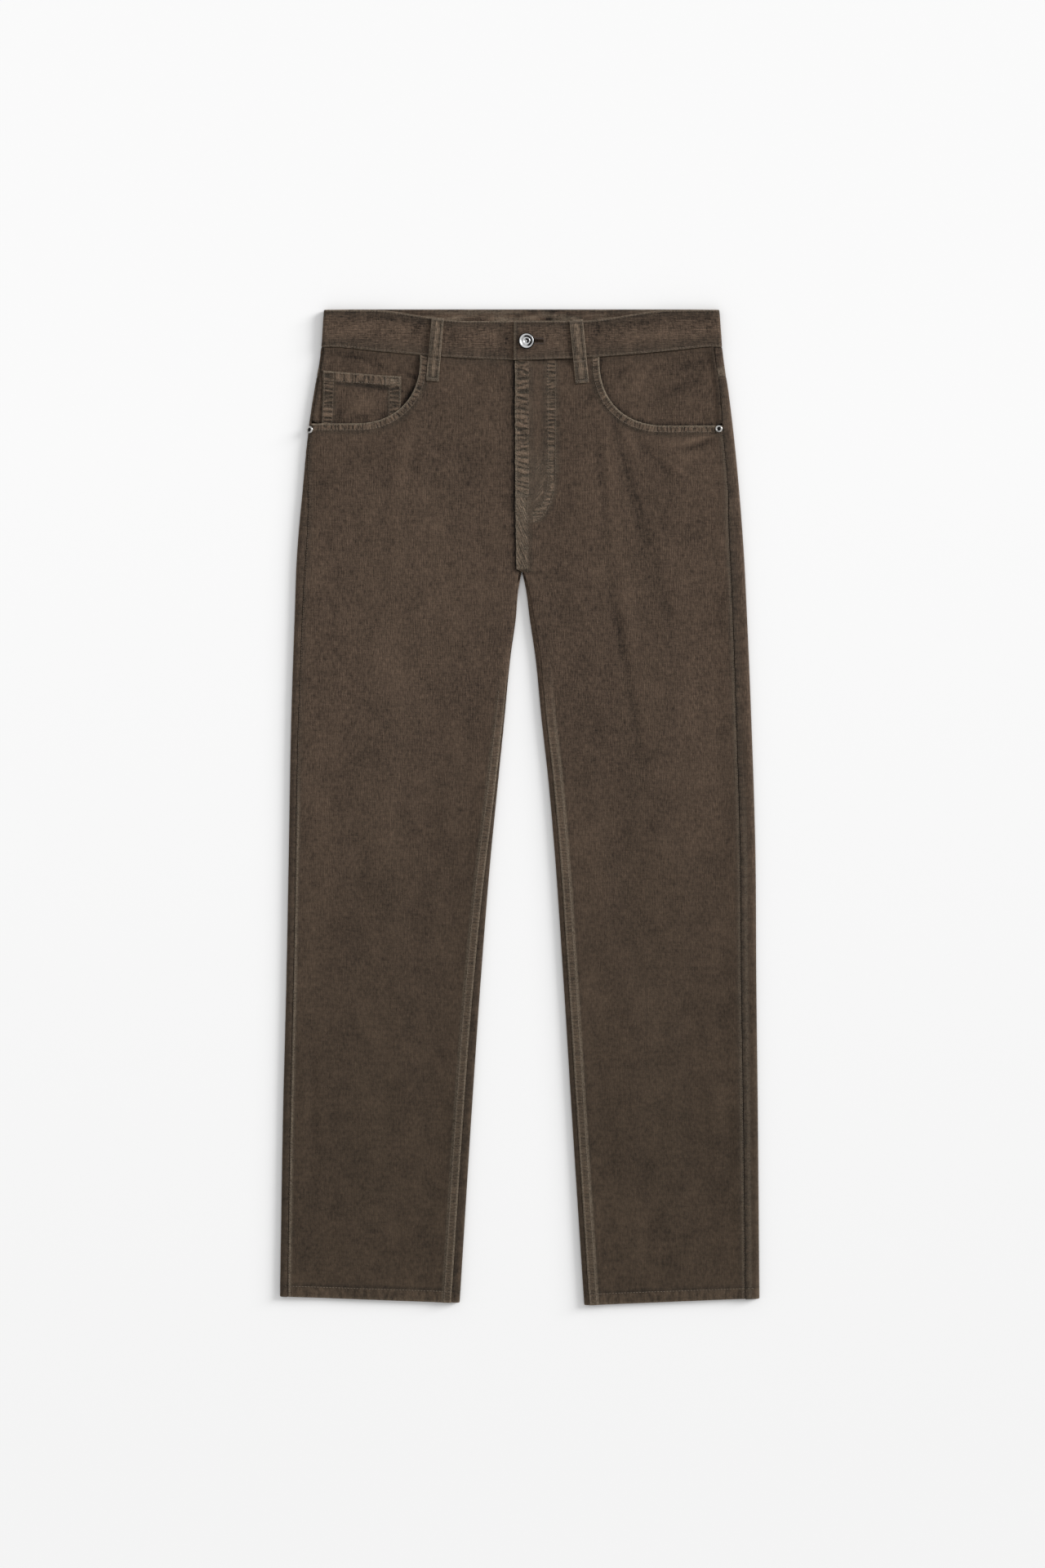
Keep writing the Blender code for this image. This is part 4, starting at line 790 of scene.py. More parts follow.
# Soft folds that fan out from the pocket mouths and the rivet
FRONT_FOLDS = (
    (99, 385, 96.3, 50, 5, 0.8), (120, 215, 99, 84, 6, 0.65), (90, 356, 96, 62, 4.2, -1),
    (110, 190, 100.8, 62, 4.6, -1.4), (128, 85, 97, 40, 5, -0.8), (119, 368, 104, 46, 5, -1.1),
    (135, 300, 100, 34, 7, -0.6), (124, 400, 121, 18, 3.6, 1), (175, 372, 137, 18, 3, 1.1),
    (166, 364, 134, 18, 4, -0.6), (203, 407.5, 17, 22, 3, 2.2), (199, 398.5, 18, 20, 3.4, -1.7),
    (170, 400, 8, 20, 3.4, 0.9), (192, 385, 10, 22, 5, 0.6), (146, 386, 134, 24, 5, -0.7),
    (156, 240, 101, 42, 6, -0.7), (166, 208, 95, 18, 4, -0.6), (76, 452, 60, 12, 5, -0.8),
    (-124, 398, 79, 60, 4.6, 0.7), (-136, 296, 88, 60, 5.4, 0.5), (-112, 388, 80, 40, 5, -0.4),
    (-146, 350, 84, 50, 6, -0.35), (-58, 244, 4, 44, 32, 0.3), (-52, 92, 82, 44, 9, -0.5),
    (-176, 412, 10, 12, 9, 0.4), (44, 110, 104, 50, 9, -0.4), (-118, 236, 86, 28, 6, -0.3),
    (70, -40, 30, 22, 9, 0.35), (-214, -20, 88, 60, 7, 0.3), (206, -58, 96, 10, 9, -0.5),
    (196, 60, 93, 300, 36, 0.25), (62, 150, 102, 300, 26, -0.25), (-228, -460, 90, 80, 44, -0.3),
    (-150, 225, 90, 70, 60, 0.25),
)

SCOOP_HEM_RAMP = (SCOOP_HEM, 1.6)
FLY_OVERLAP_RAMP = (FLY_EDGE + FLY_UNDERLAP + 4, 20)
SEAM_RAMP = (60, 120)
INSEAM_ROWS_FROM = {"right": 128, "left": 60}    # above here they are in the fold


def band_low_y(a):
    """Lower edge of the waistband on the front, which dips towards the centre by a power curve."""
    return BAND_LOW_Y - BAND_DIP_LOW * (1 - np.clip(np.abs(a) / BAND_STRAIGHT, 0, 1) ** BAND_DIP_POWER)


def past_scoop(side, a, y):
    """Distance from the pocket edge, a quarter of a superellipse and then level; positive on the front."""
    scoop = SCOOP[side]
    depth = scoop.top_y - scoop.low_y
    across = np.clip(scoop.top_a + SCOOP_RADIUS - a, 0, None) / SCOOP_RADIUS
    down = np.clip(scoop.top_y - y, 0, None) / depth
    return ((across ** SCOOP_POWER + down ** SCOOP_POWER) ** (1 / SCOOP_POWER) - 1) * depth


def along_scoop(side, a, y):
    """How far along the pocket edge a place lies: an angle times the radius, then a distance."""
    scoop = SCOOP[side]
    centre = scoop.top_a + SCOOP_RADIUS
    angle = np.arctan2(np.clip(scoop.top_y - y, 0, None), np.clip(centre - a, 0.01, None))
    return SCOOP_RADIUS * angle + np.clip(a - centre, 0, None) - np.clip(y - scoop.top_y, 0, None)


def from_fly_seam(a, y):
    """Distance from the outer row of the J: straight above its turn, and an ellipse below it."""
    wide = FLY_J_OUTER - FLY_J_FOOT
    low = FLY_TURN_Y - FLY_END_Y
    turned = np.hypot(np.clip(a - FLY_J_FOOT, 0, None) / wide, np.clip(FLY_TURN_Y - y, 0, None) / low)
    return np.where(y > FLY_TURN_Y, a - FLY_J_OUTER, (turned - 1) * 0.5 * (wide + low))


def front_top(side, a, y):
    """Upper side of a front: its turned pocket edge, the layers of the fly and the inseam's ridge."""
    past = past_scoop(side, a, y)
    height = top(side, a, y) + SCOOP_HEM_RISE * (1 - rise(past, *SCOOP_HEM_RAMP))
    folds_ramp = rise(past, SCOOP_HEM, 4) * rise(side_seam(side, y) - a, 2, 10)
    height = height + 0.55 * creases(FRONT_FOLDS, to_x(side, a), y) * folds_ramp
    ridge = 1 - rise(a - inseam(side, y), SEAM_RIDGE - 0.6, 1.4)
    height = height + SEAM_RIDGE_RISE * ridge * rise(FRONT_LEG_Y - y, *SEAM_RAMP)
    if side == "right":
        return height
    overlap = 1 - rise(a, *FLY_OVERLAP_RAMP)
    facing = 1 - rise(from_fly_seam(a, y), 0, 3)
    lift = (CLOTH + 2 * GAP) * overlap + FLY_FACING_RISE * facing * (1 - overlap)
    return height + lift * rise(y, FRONT_LEG_Y, SEAT_END_Y - FRONT_LEG_Y)


def fly_edge(side, y):
    """Inner edge of a front above the crotch: a ramp up to the fly, which wavers a little on the left."""
    if side == "left":
        return mix(FLY_LOW_EDGE, FLY_EDGE, rise(y, SEAT_END_Y, 80)) + 0.4 * soft_noise(y / 5, 0 * y, 31)
    return mix(FLY_LOW_UNDER, -(FLY_EDGE + FLY_UNDERLAP), rise(y, SEAT_END_Y, 50))


def front_rows(side):
    """Ends of each row, as (a, y) at the pocket edge or side seam and at the fly or inseam."""
    scoop = SCOOP[side]
    low_side, low_inside = HEM_Y[side]
    centre = scoop.top_a + SCOOP_RADIUS
    turn = spaced((0, 0.5 * math.pi, 44))
    turn_a = centre - SCOOP_RADIUS * np.cos(turn) ** (2 / SCOOP_POWER)
    turn_y = mix(scoop.top_y, scoop.low_y, np.sin(turn) ** (2 / SCOOP_POWER))
    turn_y[0] = band_low_y(turn_a[0]) - GAP
    run = spaced((0.06, 1, 20))
    end = side_seam(side, scoop.low_y) - SIDE_SETBACK
    seat_y = spaced((scoop.low_y - 2, SEAT_END_Y, 62))
    leg = spaced((0, 1, 272))
    leg_side, leg_inside = (np.concatenate([mix(FRONT_LEG_Y, low + HEM_HEIGHT + 1, leg), low + HEM_LEVELS])
                            for low in (low_side, low_inside))
    side_y = np.concatenate([turn_y, np.full(len(run), scoop.low_y), seat_y, leg_side])
    fly_y = np.concatenate([turn_y, mix(scoop.low_y, FLY_LOW_Y, run),
                            mix(FLY_LOW_Y, SEAT_END_Y, np.linspace(0.016, 1, len(seat_y)))])
    side_a = np.concatenate([turn_a, mix(centre, end, run),
                             side_seam(side, side_y[len(turn) + len(run):]) - SIDE_SETBACK])
    centre_a = np.concatenate([fly_edge(side, fly_y), inseam(side, leg_inside) + GAP / 2])
    return [part[:, None] for part in (side_a, side_y, centre_a, np.concatenate([fly_y, leg_inside]))]


def front_gathers(side, a, y):
    """All the rows of stitches that gather a front."""
    over_crotch = y > FRONT_LEG_Y
    on_ridge = np.where(over_crotch, FAR, a - inseam(side, y) - 0.5 * SEAM_RIDGE)
    from_side = np.where(y < SCOOP[side].low_y, side_seam(side, y) - a, FAR)
    along = along_scoop(side, a, y)
    rows = [
        gather(1.2 * y, from_side, 5, 0.75), gather(1.2 * y, on_ridge, 1.8, 0.62 * below_crotch(y), flat=4),
        gather(0.45 * a, y - hem_y(side, a) - 6, 3.5, 0.4, flat=6),
        gather(along, past_scoop(side, a, y) - 4.4, 3.4, 1.35 + 0.6 * (side == "left") * near(along, 34),
               flat=3.2),
        gather(a, band_low_y(a) - y, 6, 0.8),
    ]
    if side == "left":
        on_strip = np.where(y > FLY_END_Y, a, FAR)
        on_j = np.where(y > FLY_END_Y, from_fly_seam(a, y) + 4.6, FAR)
        on_crotch = np.where(over_crotch & (y < FLY_END_Y + 28), a, FAR)
        on_foot = np.where((y > FLY_END_Y) & (a > 9), from_fly_seam(a, y) + 14, FAR)
        rows += [gather(0.68 * y, on_strip, 4, 1.85, flat=8), gather(y, on_j, 3.6, 1.75, flat=5),
                 gather(0.8 * y + 2 * a, 2.5 * on_crotch, 7.5, 2.5, flat=16),
                 gather(1.3 * y - 1.5 * a, on_foot, 4, 0.7 * rise(404 - y, 0, 30), flat=8)]
    return strongest(rows)


def leaning(a, y):
    """Place across the ribs: the distance from the centre line, less the leg's lean below the hip."""
    lean = math.tan(math.radians(WALE_LEAN_DEGREES))
    return a - lean * np.clip(WALE_LEAN_FROM_Y - y, 0, None)


def on_front(side, a, y, lift=0):
    """Places on the upper side of a front, with its puckers, and a lift above them."""
    return in_place(side, a, y, front_top(side, a, y) + PUCKER * pucker(front_gathers(side, a, y)) + lift)


def bar_tack(start, end, half_height, spacing=0.75):
    """A bar of close stitches: each one crosses the line from start to end, leaning to and fro."""
    length = np.linalg.norm(end - start)
    way = (end - start) / length
    across = np.array([-way[1], way[0], 0]) * half_height
    count = int(length / spacing)
    t = np.linspace(0, 1, count)[:, None, None]
    lean = np.where(np.arange(count) % 2, 0.5, -0.5)[:, None, None] * spacing * way
    station = np.array([-1, -0.6, 0, 0.6, 1])[None, :, None]
    return mix(start, end, t) + station * (across + lean)


def scoop_row(side, distance):
    """A row of stitches at a distance from the pocket edge: the same curve, drawn larger."""
    scoop = SCOOP[side]
    depth = scoop.top_y - scoop.low_y
    scale = 1 + distance / depth
    centre = scoop.top_a + SCOOP_RADIUS
    turn = np.linspace(0, 0.5 * math.pi, 160)
    a = centre - SCOOP_RADIUS * scale * np.cos(turn) ** (2 / SCOOP_POWER)
    y = scoop.top_y - depth * scale * np.sin(turn) ** (2 / SCOOP_POWER)
    end = side_seam(side, y[-1]) - SIDE_SETBACK - 1
    start_y = band_low_y(a[0]) - GAP - 1
    return np.concatenate([[a[0]], a, mix(centre, end, spaced((0.01, 1, 60)))]), \
        np.concatenate([[max(start_y, y[0] + 0.1)], y, np.full(61, y[-1])])


def fly_row(inset):
    """The J of the fly facing: straight down, then a quarter of an ellipse to the strip."""
    turn = np.linspace(0, 0.5 * math.pi, 60)
    a = FLY_J_FOOT + (FLY_J_OUTER - FLY_J_FOOT - inset) * np.cos(turn)
    y = FLY_TURN_Y - (FLY_TURN_Y - FLY_END_Y - inset) * np.sin(turn)
    down = np.linspace(band_low_y(30) - 1, FLY_TURN_Y + 1, 100)
    return np.concatenate([np.full(100, a[0]), a]), np.concatenate([down, y])


for side in ("right", "left"):
    side_a, side_y, centre_a, centre_y = front_rows(side)
    first, last = side_a - SIDE_COLUMNS, centre_a + CENTRE_COLUMNS
    a = np.concatenate([first, mix(first[:, -1:], last[:, :1], np.linspace(0, 1, 54)[1:-1]), last], axis=1)
    y = mix(side_y, centre_y, (side_a - a) / (side_a - centre_a))
    at_band = near(y - side_y[0], 14) * (np.arange(len(a)) < 40)[:, None]
    y = y + at_band * (band_low_y(a) - GAP - y[0])
    gathers = front_gathers(side, a, y)
    below_scoop = past_scoop(side, a, y)
    from_inseam = np.where(y < FRONT_LEG_Y, a - inseam(side, y), FAR)
    past_ridge = from_inseam - SEAM_RIDGE
    from_side = np.where(y < SCOOP[side].low_y, side_seam(side, y) - a, FAR)
    from_hem = y - hem_y(side, a)
    from_fly = from_fly_seam(a, y)
    lies_open = below_crotch(y)
    seam_wear = 0.5 * rise(80 - y, 0, 120) if side == "right" else 0.22
    side_painted_shade, ridge_painted_shade = (1.3, 0.55) if side == "left" else (0.7, 0.3)
    wear_and_painted_light = lines((2, below_scoop, 0.8), (0.25, from_hem, 1.4), (0.30 * lies_open, past_ridge, 1.6),
                   (0.38 * lies_open, from_inseam - 1.4, 1), (seam_wear, from_side - 2.2, 1.3))
    wear_and_painted_light = wear_and_painted_light + 0.07 * gathers.strength + 0.06 * lies_open * (1 - rise(from_inseam, SEAM_RIDGE, 1.5))
    # Painted shade along the side seam, beside the inseam and its ridge, at the hem's row and under the pocket
    # edge's hem; the folds are painted darker in their troughs and lighter on their crowns
    painted_shade_and_tone = lines((side_painted_shade, from_side, 1.2), (0.25 * lies_open, from_inseam, 0.8),
                 (ridge_painted_shade * lies_open, past_ridge - 2, 1.3), (0.6, from_hem - 13.4, 1.2),
                 (0.30, below_scoop - SCOOP_HEM - 0.6, 1.1))
    painted_shade_and_tone = painted_shade_and_tone - 0.55 * creases(FRONT_FOLDS, to_x(side, a), y) * rise(below_scoop, SCOOP_HEM, 4)
    if side == "left":
        wear_and_painted_light = wear_and_painted_light + lines((0.9 * (y > FRONT_LEG_Y), a - fly_edge(side, y), 1))
        on_fly = (y > FLY_END_Y) & (from_fly < 2)
        wear_and_painted_light = wear_and_painted_light + on_fly * (0.02 + 0.09 * rise(405 - y, 0, 30))
        wear_and_painted_light = wear_and_painted_light + 0.14 * (a < 7.5) * rise(y, FRONT_LEG_Y, 6) * rise(352 - y, 0, 12)
        # Painted shade beside the J, and in the dips beside its bar tacks
        painted_shade_and_tone = painted_shade_and_tone + lines((0.35 * (y > FLY_END_Y), from_fly - 1, 1.2))
        painted_shade_and_tone = painted_shade_and_tone + lines(*[(1.3 * (a < 8), y - low_y, 1.5) for low_y in FLY_HOLLOWS])
    else:
        # Painted shadow that the left front's fly edge casts on the right front
        under_fly = a + fly_edge("left", y) - 0.6
        painted_shade_and_tone = painted_shade_and_tone + lines((1.3, under_fly, 1.7), (0.35, under_fly, 5)) * (y > FRONT_LEG_Y)
    thickness = mix(HEM_THICKNESS, CLOTH, rise(from_hem, HEM_HEIGHT, 1))
    grid = in_place(side, a, y, front_top(side, a, y))
    piece = cloth_shell("front_panel_" + side, grid, thickness, (leaning(a, y), y), gathers, wear_and_painted_light, painted_shade_and_tone,
                        CORDUROY)
    lay_cloth(piece, grid, "front_" + side)

    # Rows at the pocket edge, the inseam, the hem and the side seam, and on the left those of the fly
    low_side, low_inside = HEM_Y[side]
    leg_y = np.linspace(INSEAM_ROWS_FROM[side], low_inside + 1.5, 500)
    side_seam_y = np.linspace(SCOOP[side].low_y - 3, low_side + 1.5, 500)
    hem_a = np.linspace(side_seam(side, low_side) - 1.5, inseam(side, low_inside) + 1.5, 120)
    rows = [scoop_row(side, inset) for inset in SCOOP_ROWS] + [(hem_a, hem_y(side, hem_a) + HEM_ROW)]
    rows += [(inseam(side, leg_y) + inset, leg_y) for inset in INSEAM_ROWS]
    if side == "left":
        fly_y = np.linspace(band_low_y(0) - 1, FLY_END_Y + 29, 180)
        crotch_y = np.linspace(FLY_END_Y + 27, FRONT_LEG_Y, 90)
        rows += [(fly_edge(side, fly_y) + 2.2, fly_y), (np.full(180, FLY_J_FOOT - 1.2), fly_y)]
        rows += [fly_row(inset) for inset in FLY_ROWS]
        rows += [(np.full(90, inset), crotch_y) for inset in CROTCH_ROWS]
    groups = [row_of_stitches(on_front(side, *row, lift=-0.06)) for row in rows]
    seam_row = on_front(side, side_seam(side, side_seam_y) - SIDE_SETBACK - 0.5, side_seam_y, lift=-0.25)
    groups.append(row_of_stitches(seam_row, 2.7, 1.3))
    if side == "left":
        for level, *ends in FLY_BARS:
            groups.append(bar_tack(*on_front(side, np.array(ends), np.full(2, level)), 1))
    sew("stitches_front_" + side, groups)


# ---------------------------------------------------------------- pocket facings
# The cloth seen in each pocket opening, cut on the same grain and sewn into the side seam and the
# waistband.  It lies a layer lower than the front, and runs on under it.

FACING_DEPTH = 1.7
FACING_LEDGE = 7.8
LEDGE_START = 1.5
FACING_HIDDEN = 22
FACING_NOTCH = 0.8
COIN_SINK = 0.1

# Soft folds in the cloth of the pocket openings
POCKET_FOLDS = (
    (-160, 462, -9, 32, 2.4, -0.9), (-199, 432, 74, 14, 5, -0.9), (-171, 444, 4, 14, 8, 0.7),
    (-122, 452, 56, 11, 3.2, -1), (-119, 475, -14, 13, 2, -1.2), (-180, 495, -6, 22, 2.6, -0.8),
    (-158, 486.5, -15, 13, 2.6, -0.7), (-147, 434, 34, 10, 5, -0.8), (-178, 428, 8, 16, 3, -0.5),
    (190, 488, 10, 20, 5, -0.6), (132, 470, 52, 16, 5, 0.5), (168, 458, 24, 26, 6, -0.45),
    (196, 446, -14, 18, 5, 0.45), (112, 480, 62, 12, 3.6, -0.6),
)


def facing_top(side, a, y):
    """Upper side of a facing: level with the side seam, then eased down under the front."""
    depth = FACING_DEPTH + (COIN_LAYERS[side] + COIN_SINK) * coin_layers(side, a, y)
    from_seam = side_seam(side, y) - a
    folds = creases(POCKET_FOLDS, to_x(side, a), y) * rise(from_seam, LEDGE_START, 10)
    depth = depth * (1 - 0.5 * near(band_low_y(a) - y, 7))
    return top(side, a, y) + folds - depth * rise(from_seam, LEDGE_START, FACING_LEDGE - LEDGE_START)


for side in ("right", "left"):
    scoop = SCOOP[side]
    open_y = scoop.low_y + FACING_NOTCH
    side_y = spaced((BAND_LOW_Y - GAP, open_y, 44), (open_y - 0.6, open_y - FACING_HIDDEN, 8))[:, None]
    shows = side_y > open_y - 0.3
    turn = np.radians(spaced((0, 76, 44), (76.4, 90, 8)))[:, None]
    reach = SCOOP_RADIUS + FACING_HIDDEN
    inner_a = scoop.top_a + SCOOP_RADIUS - reach * np.cos(turn) ** (2 / SCOOP_POWER)
    inner_y = mix(scoop.top_y, side_y[-1], np.sin(turn) ** (2 / SCOOP_POWER))
    seam_a = side_seam(side, side_y) - SIDE_SETBACK
    ledge = np.linspace(0, 1, 8)
    on_ledge = seam_a - np.where(shows, FACING_LEDGE * ledge, FACING_LEDGE + 0.7 + ledge)
    past_ledge = on_ledge[:, -1:]
    a = np.concatenate([on_ledge, mix(past_ledge, inner_a, np.linspace(0, 1, 40)[1:])], axis=1)
    y = mix(side_y, inner_y, np.clip((past_ledge - a) / (past_ledge - a[:, -1:]), 0, 1))
    at_band = near(y - BAND_LOW_Y, 12) * (np.arange(len(a)) < 30)[:, None]
    y = y + at_band * (band_low_y(a) - GAP - y[0])
    from_side = side_seam(side, y) - a
    gathers = strongest([gather(y, from_side, 5, 0.8), gather(a, band_low_y(a) - y, 6, 0.6)])
    wear_and_painted_light = 0.05 * gathers.strength
    # Painted shade along the side seam and under the pocket edge, painted light just under the waistband against
    # its shadow, and the folds painted darker in their troughs and lighter on their crowns
    painted_shade_and_tone = lines((0.8, from_side, 1.1), (1, past_scoop(side, a, y), 3.4), (-0.5, band_low_y(a) - y, 3))
    painted_shade_and_tone = painted_shade_and_tone - creases(POCKET_FOLDS, to_x(side, a), y)
    grid = in_place(side, a, y, facing_top(side, a, y))
    piece = cloth_shell("facing_" + side, grid, CLOTH, (leaning(a, y), y), gathers, wear_and_painted_light, painted_shade_and_tone, CORDUROY)
    lay_cloth(piece, grid, "pocket_facing_" + side)


# ---------------------------------------------------------------- coin pocket
# A small patch on the right facing.  Its upper edge is turned down twice and sewn, and its sides are
# sewn on with two rows each.  The front hides its lower end.

Edge = namedtuple("Edge", "top_a top_y low_a low_y")
COIN_OUTER = Edge(218.7, 480.5, 221.3, 411)
COIN_INNER = Edge(132.8, 473.7, 133.6, 411)
COIN_HEM = 12
COIN_HEM_RISE = 0.5
COIN_LENGTH = COIN_OUTER.top_y - COIN_OUTER.low_y
COIN_ROWS = (1.8, COIN_HEM - 1.4)                # depths of the two rows along the upper edge
COIN_SIDE_ROWS = (0.022, 0.135, 0.845, 0.978)    # shares of the width
COIN_TACKS = (0.8, 0.97)
COIN_CHAFED = (143, 6)    # distance from the centre line, and depth, of a place that is rubbed bare


def coin_place(t, across):
    """Place at a share of the length from the upper edge, and of the width from the side."""
    return (mix(mix(COIN_OUTER.top_a, COIN_OUTER.low_a, t), mix(COIN_INNER.top_a, COIN_INNER.low_a, t), across),
            mix(mix(COIN_OUTER.top_y, COIN_OUTER.low_y, t), mix(COIN_INNER.top_y, COIN_INNER.low_y, t), across))


def coin_thickness(depth):
    """The cloth, and above the hem's end the turning too."""
    return CLOTH + COIN_HEM_RISE * (1 - rise(depth, COIN_HEM - 0.8, 1))


def on_coin_pocket(t, across):
    """Places on the patch's upper side: the facing's height, the gap and the thickness."""
    a, y = coin_place(t, across)
    return in_place("right", a, y, facing_top("right", a, y) + GAP + coin_thickness(t * COIN_LENGTH))


t = spaced((0, COIN_HEM, 12), (COIN_HEM, COIN_LENGTH, 40))[:, None] / COIN_LENGTH
across = spaced((0, 0.05, 4), (0.05, 0.95, 40), (0.95, 1, 4))
a, y = coin_place(t, across)
down = t * COIN_LENGTH + 0 * across
wide = (COIN_OUTER.top_a - COIN_INNER.top_a) * np.minimum(across, 1 - across) + 0 * t
gathers = strongest([gather(0.8 * a, down - 6, 3, 1.45, flat=5.5), gather(y, wide - 6.5, 2.6, 1.6, flat=5.5)])
chafed = near(a - COIN_CHAFED[0], 7)
wear_and_painted_light = lines((0.7, down, 0.9), (0.5, wide, 0.9), (0.35 * chafed, down - COIN_CHAFED[1], 4))
wear_and_painted_light = wear_and_painted_light + 0.07 * gathers.strength
# Painted shade under the hem and beside the pocket edge, and the folds painted darker in their troughs and
# lighter on their crowns
painted_shade_and_tone = lines((1, down - COIN_HEM - 1.2, 1.5), (0.5, past_scoop("right", a, y), 2.8))
painted_shade_and_tone = painted_shade_and_tone - creases(POCKET_FOLDS, to_x("right", a), y)
grid = on_coin_pocket(t, across)
piece = cloth_shell("coin_pocket_patch", grid, coin_thickness(down), (a, y), gathers, wear_and_painted_light, painted_shade_and_tone, CORDUROY)
lay_cloth(piece, grid, "coin_pocket")

# Two rows along the upper edge and two along each side, and two tacks down the hem's inner corner
across = np.linspace(0.02, 0.98, 80)
t = np.linspace(1, COIN_LENGTH - 12, 60) / COIN_LENGTH
groups = [row_of_stitches(on_coin_pocket(depth / COIN_LENGTH, across)) for depth in COIN_ROWS]
groups += [row_of_stitches(on_coin_pocket(t, share)) for share in COIN_SIDE_ROWS]
for share in COIN_TACKS:
    groups.append(bar_tack(*on_coin_pocket(np.array([1.2, COIN_HEM - 0.4]) / COIN_LENGTH, share), 0.9))
sew("stitches_coin_pocket", groups)


# ---------------------------------------------------------------- back pockets
# Two patch pockets on the seat, with a pointed lower edge and a hemmed upper one.  The garment lies
# on them.

PATCH_CENTRE = 121
PATCH_HALF_TOP = 70
PATCH_HALF_LOW = 63
PATCH_TOP_Y = 428
PATCH_CORNER_Y = 288
PATCH_POINT_Y = 272
PATCH_HEM = 24
PATCH_ROWS = (2, 8.5)

for side in ("right", "left"):
    half = spaced((-1, -0.96, 3), (-0.96, 0.96, 40), (0.96, 1, 3))
    t = spaced((0, 0.02, 3), (0.02, 0.98, 50), (0.98, 1, 3))[:, None]
    low_y = mix(PATCH_POINT_Y, PATCH_CORNER_Y, np.abs(half))
    a = PATCH_CENTRE - half * mix(PATCH_HALF_TOP, PATCH_HALF_LOW, t)
    y = mix(PATCH_TOP_Y, low_y, t)
    from_side = (1 - np.abs(half)) * PATCH_HALF_LOW + 0 * y
    from_edge = np.minimum(from_side, y - low_y)
    from_hem = PATCH_TOP_Y - y - PATCH_HEM
    gathers = strongest([gather(y, from_side, 9), gather(a, y - low_y, 9), gather(a, from_hem, 4)])
    wear_and_painted_light = lines((0.5, from_edge, 1.5), (0.5, PATCH_TOP_Y - y, 1.5))
    # Painted shade at the hem's row
    painted_shade_and_tone = lines((0.35, from_hem, 1.2))
    z = 0.05 + 0.3 * rise(from_edge, 8, 30) * (0.5 + 0.5 * soft_noise(a / 20, y / 24, 8))
    grid = in_place(side, a, y, z)
    piece = cloth_shell("patch_pocket_" + side, grid, CLOTH - 0.35, (a, y), gathers, wear_and_painted_light, painted_shade_and_tone, CORDUROY,
                        faces_up=False)
    lay_cloth(piece, grid, "back_pocket_" + side)

    # Two rows along each side and each slope of the point, and one under the hem
    rows = []
    t = np.linspace(0, 1, 60)
    for inset, sign in [(inset, sign) for inset in PATCH_ROWS for sign in (-1, 1)]:
        rows.append((PATCH_CENTRE + sign * (mix(PATCH_HALF_TOP, PATCH_HALF_LOW, t) - inset),
                     mix(PATCH_TOP_Y, PATCH_CORNER_Y + inset, t)))
        rows.append((PATCH_CENTRE + sign * (PATCH_HALF_LOW - inset) * (1 - t),
                     mix(PATCH_CORNER_Y, PATCH_POINT_Y, t) + inset))
    rows.append((PATCH_CENTRE + 64 * np.linspace(-1, 1, 90), np.full(90, PATCH_TOP_Y - PATCH_HEM)))
    sew("stitches_back_pocket_" + side, [row_of_stitches(in_place(side, *row, 0.25)) for row in rows], up=-1)


# ---------------------------------------------------------------- waistband
# One doubled and stiffened strip, cut with the ribs running round the waist, and sewn along both
# edges.  Its left end lies over the right one and has the buttonhole, and the front dips so that the
# inside of the back shows above it.

WAIST_Y = 548.1
BAND_THICKNESS = 2.6
BAND_TOP_Z = 7.8
BAND_DIP_TOP = 12.4
BAND_TOP_STEP = 0.8
BAND_LEFT_END = -8.8
BAND_UNDERLAP = 28
BAND_END_PRESS = 0.4
BAND_DIP_RAMP = (60, 110)
BAND_PRESS_RAMP = (BAND_UNDERLAP + 4, 26)
BAND_LIFT_RAMP = (BAND_UNDERLAP + 4, 30)
BAND_MIDDLE_Y = 0.5 * (BAND_LOW_Y + WAIST_Y)
BAND_FOLDS = (
    (-150, 538, -5, 36, 3, -0.7), (-178, 527, 10, 24, 5, 0.5), (-116, 524, 62, 14, 4, -0.7),
    (-136, 528, -24, 18, 3.4, 0.4), (-196, 512, 4, 26, 3, -0.4), (-74, 520, 84, 14, 3, -0.5),
    (-40, 518, 12, 26, 4, 0.4), (-14, 516, 82, 16, 4, -0.8), (40, 520, 76, 14, 5, 0.3),
    (86, 526, 80, 12, 3, -0.6), (126, 532, 8, 30, 3.4, -0.5), (150, 519, 4, 34, 5, 0.45),
    (192, 538, -4, 24, 3, -0.4), (200, 514, 14, 20, 3.6, -0.4),
)
BAND_PAD_RAMP = (8, 26)
BAND_EDGE_ROWS = (2, -3)    # the grid's rows that the stitches follow
BAND_END_ROW = 2.2          # distance from the upper end
BUTTON_X = 7.5
BUTTON_Y = 512.6
SHANK_RADIUS = 2.5
EYE_RADIUS = 3.1
SLIT_RADIUS = 1.7
SLIT_LENGTH = 17
KEYHOLE_PITCH = 0.75      # of its stitches
KEYHOLE_REACH = np.array([0.25, 0.6, 1.1, 1.6, 1.9])    # stations of each one, from the cut outwards


def band_top_y(a):
    """Upper edge on the front: level, but lower by a ramp towards the centre."""
    return WAIST_Y - BAND_TOP_STEP - BAND_DIP_TOP * (1 - rise(np.abs(a), *BAND_DIP_RAMP))


def band_top_z(side, a):
    """Height on the front: the left end is lifted over the right one, which is pressed down."""
    if side == "right":
        return BAND_TOP_Z - BAND_END_PRESS * (1 - rise(a, *BAND_PRESS_RAMP))
    return BAND_TOP_Z + (BAND_THICKNESS + GAP - BAND_END_PRESS) * (1 - rise(a, *BAND_LIFT_RAMP))


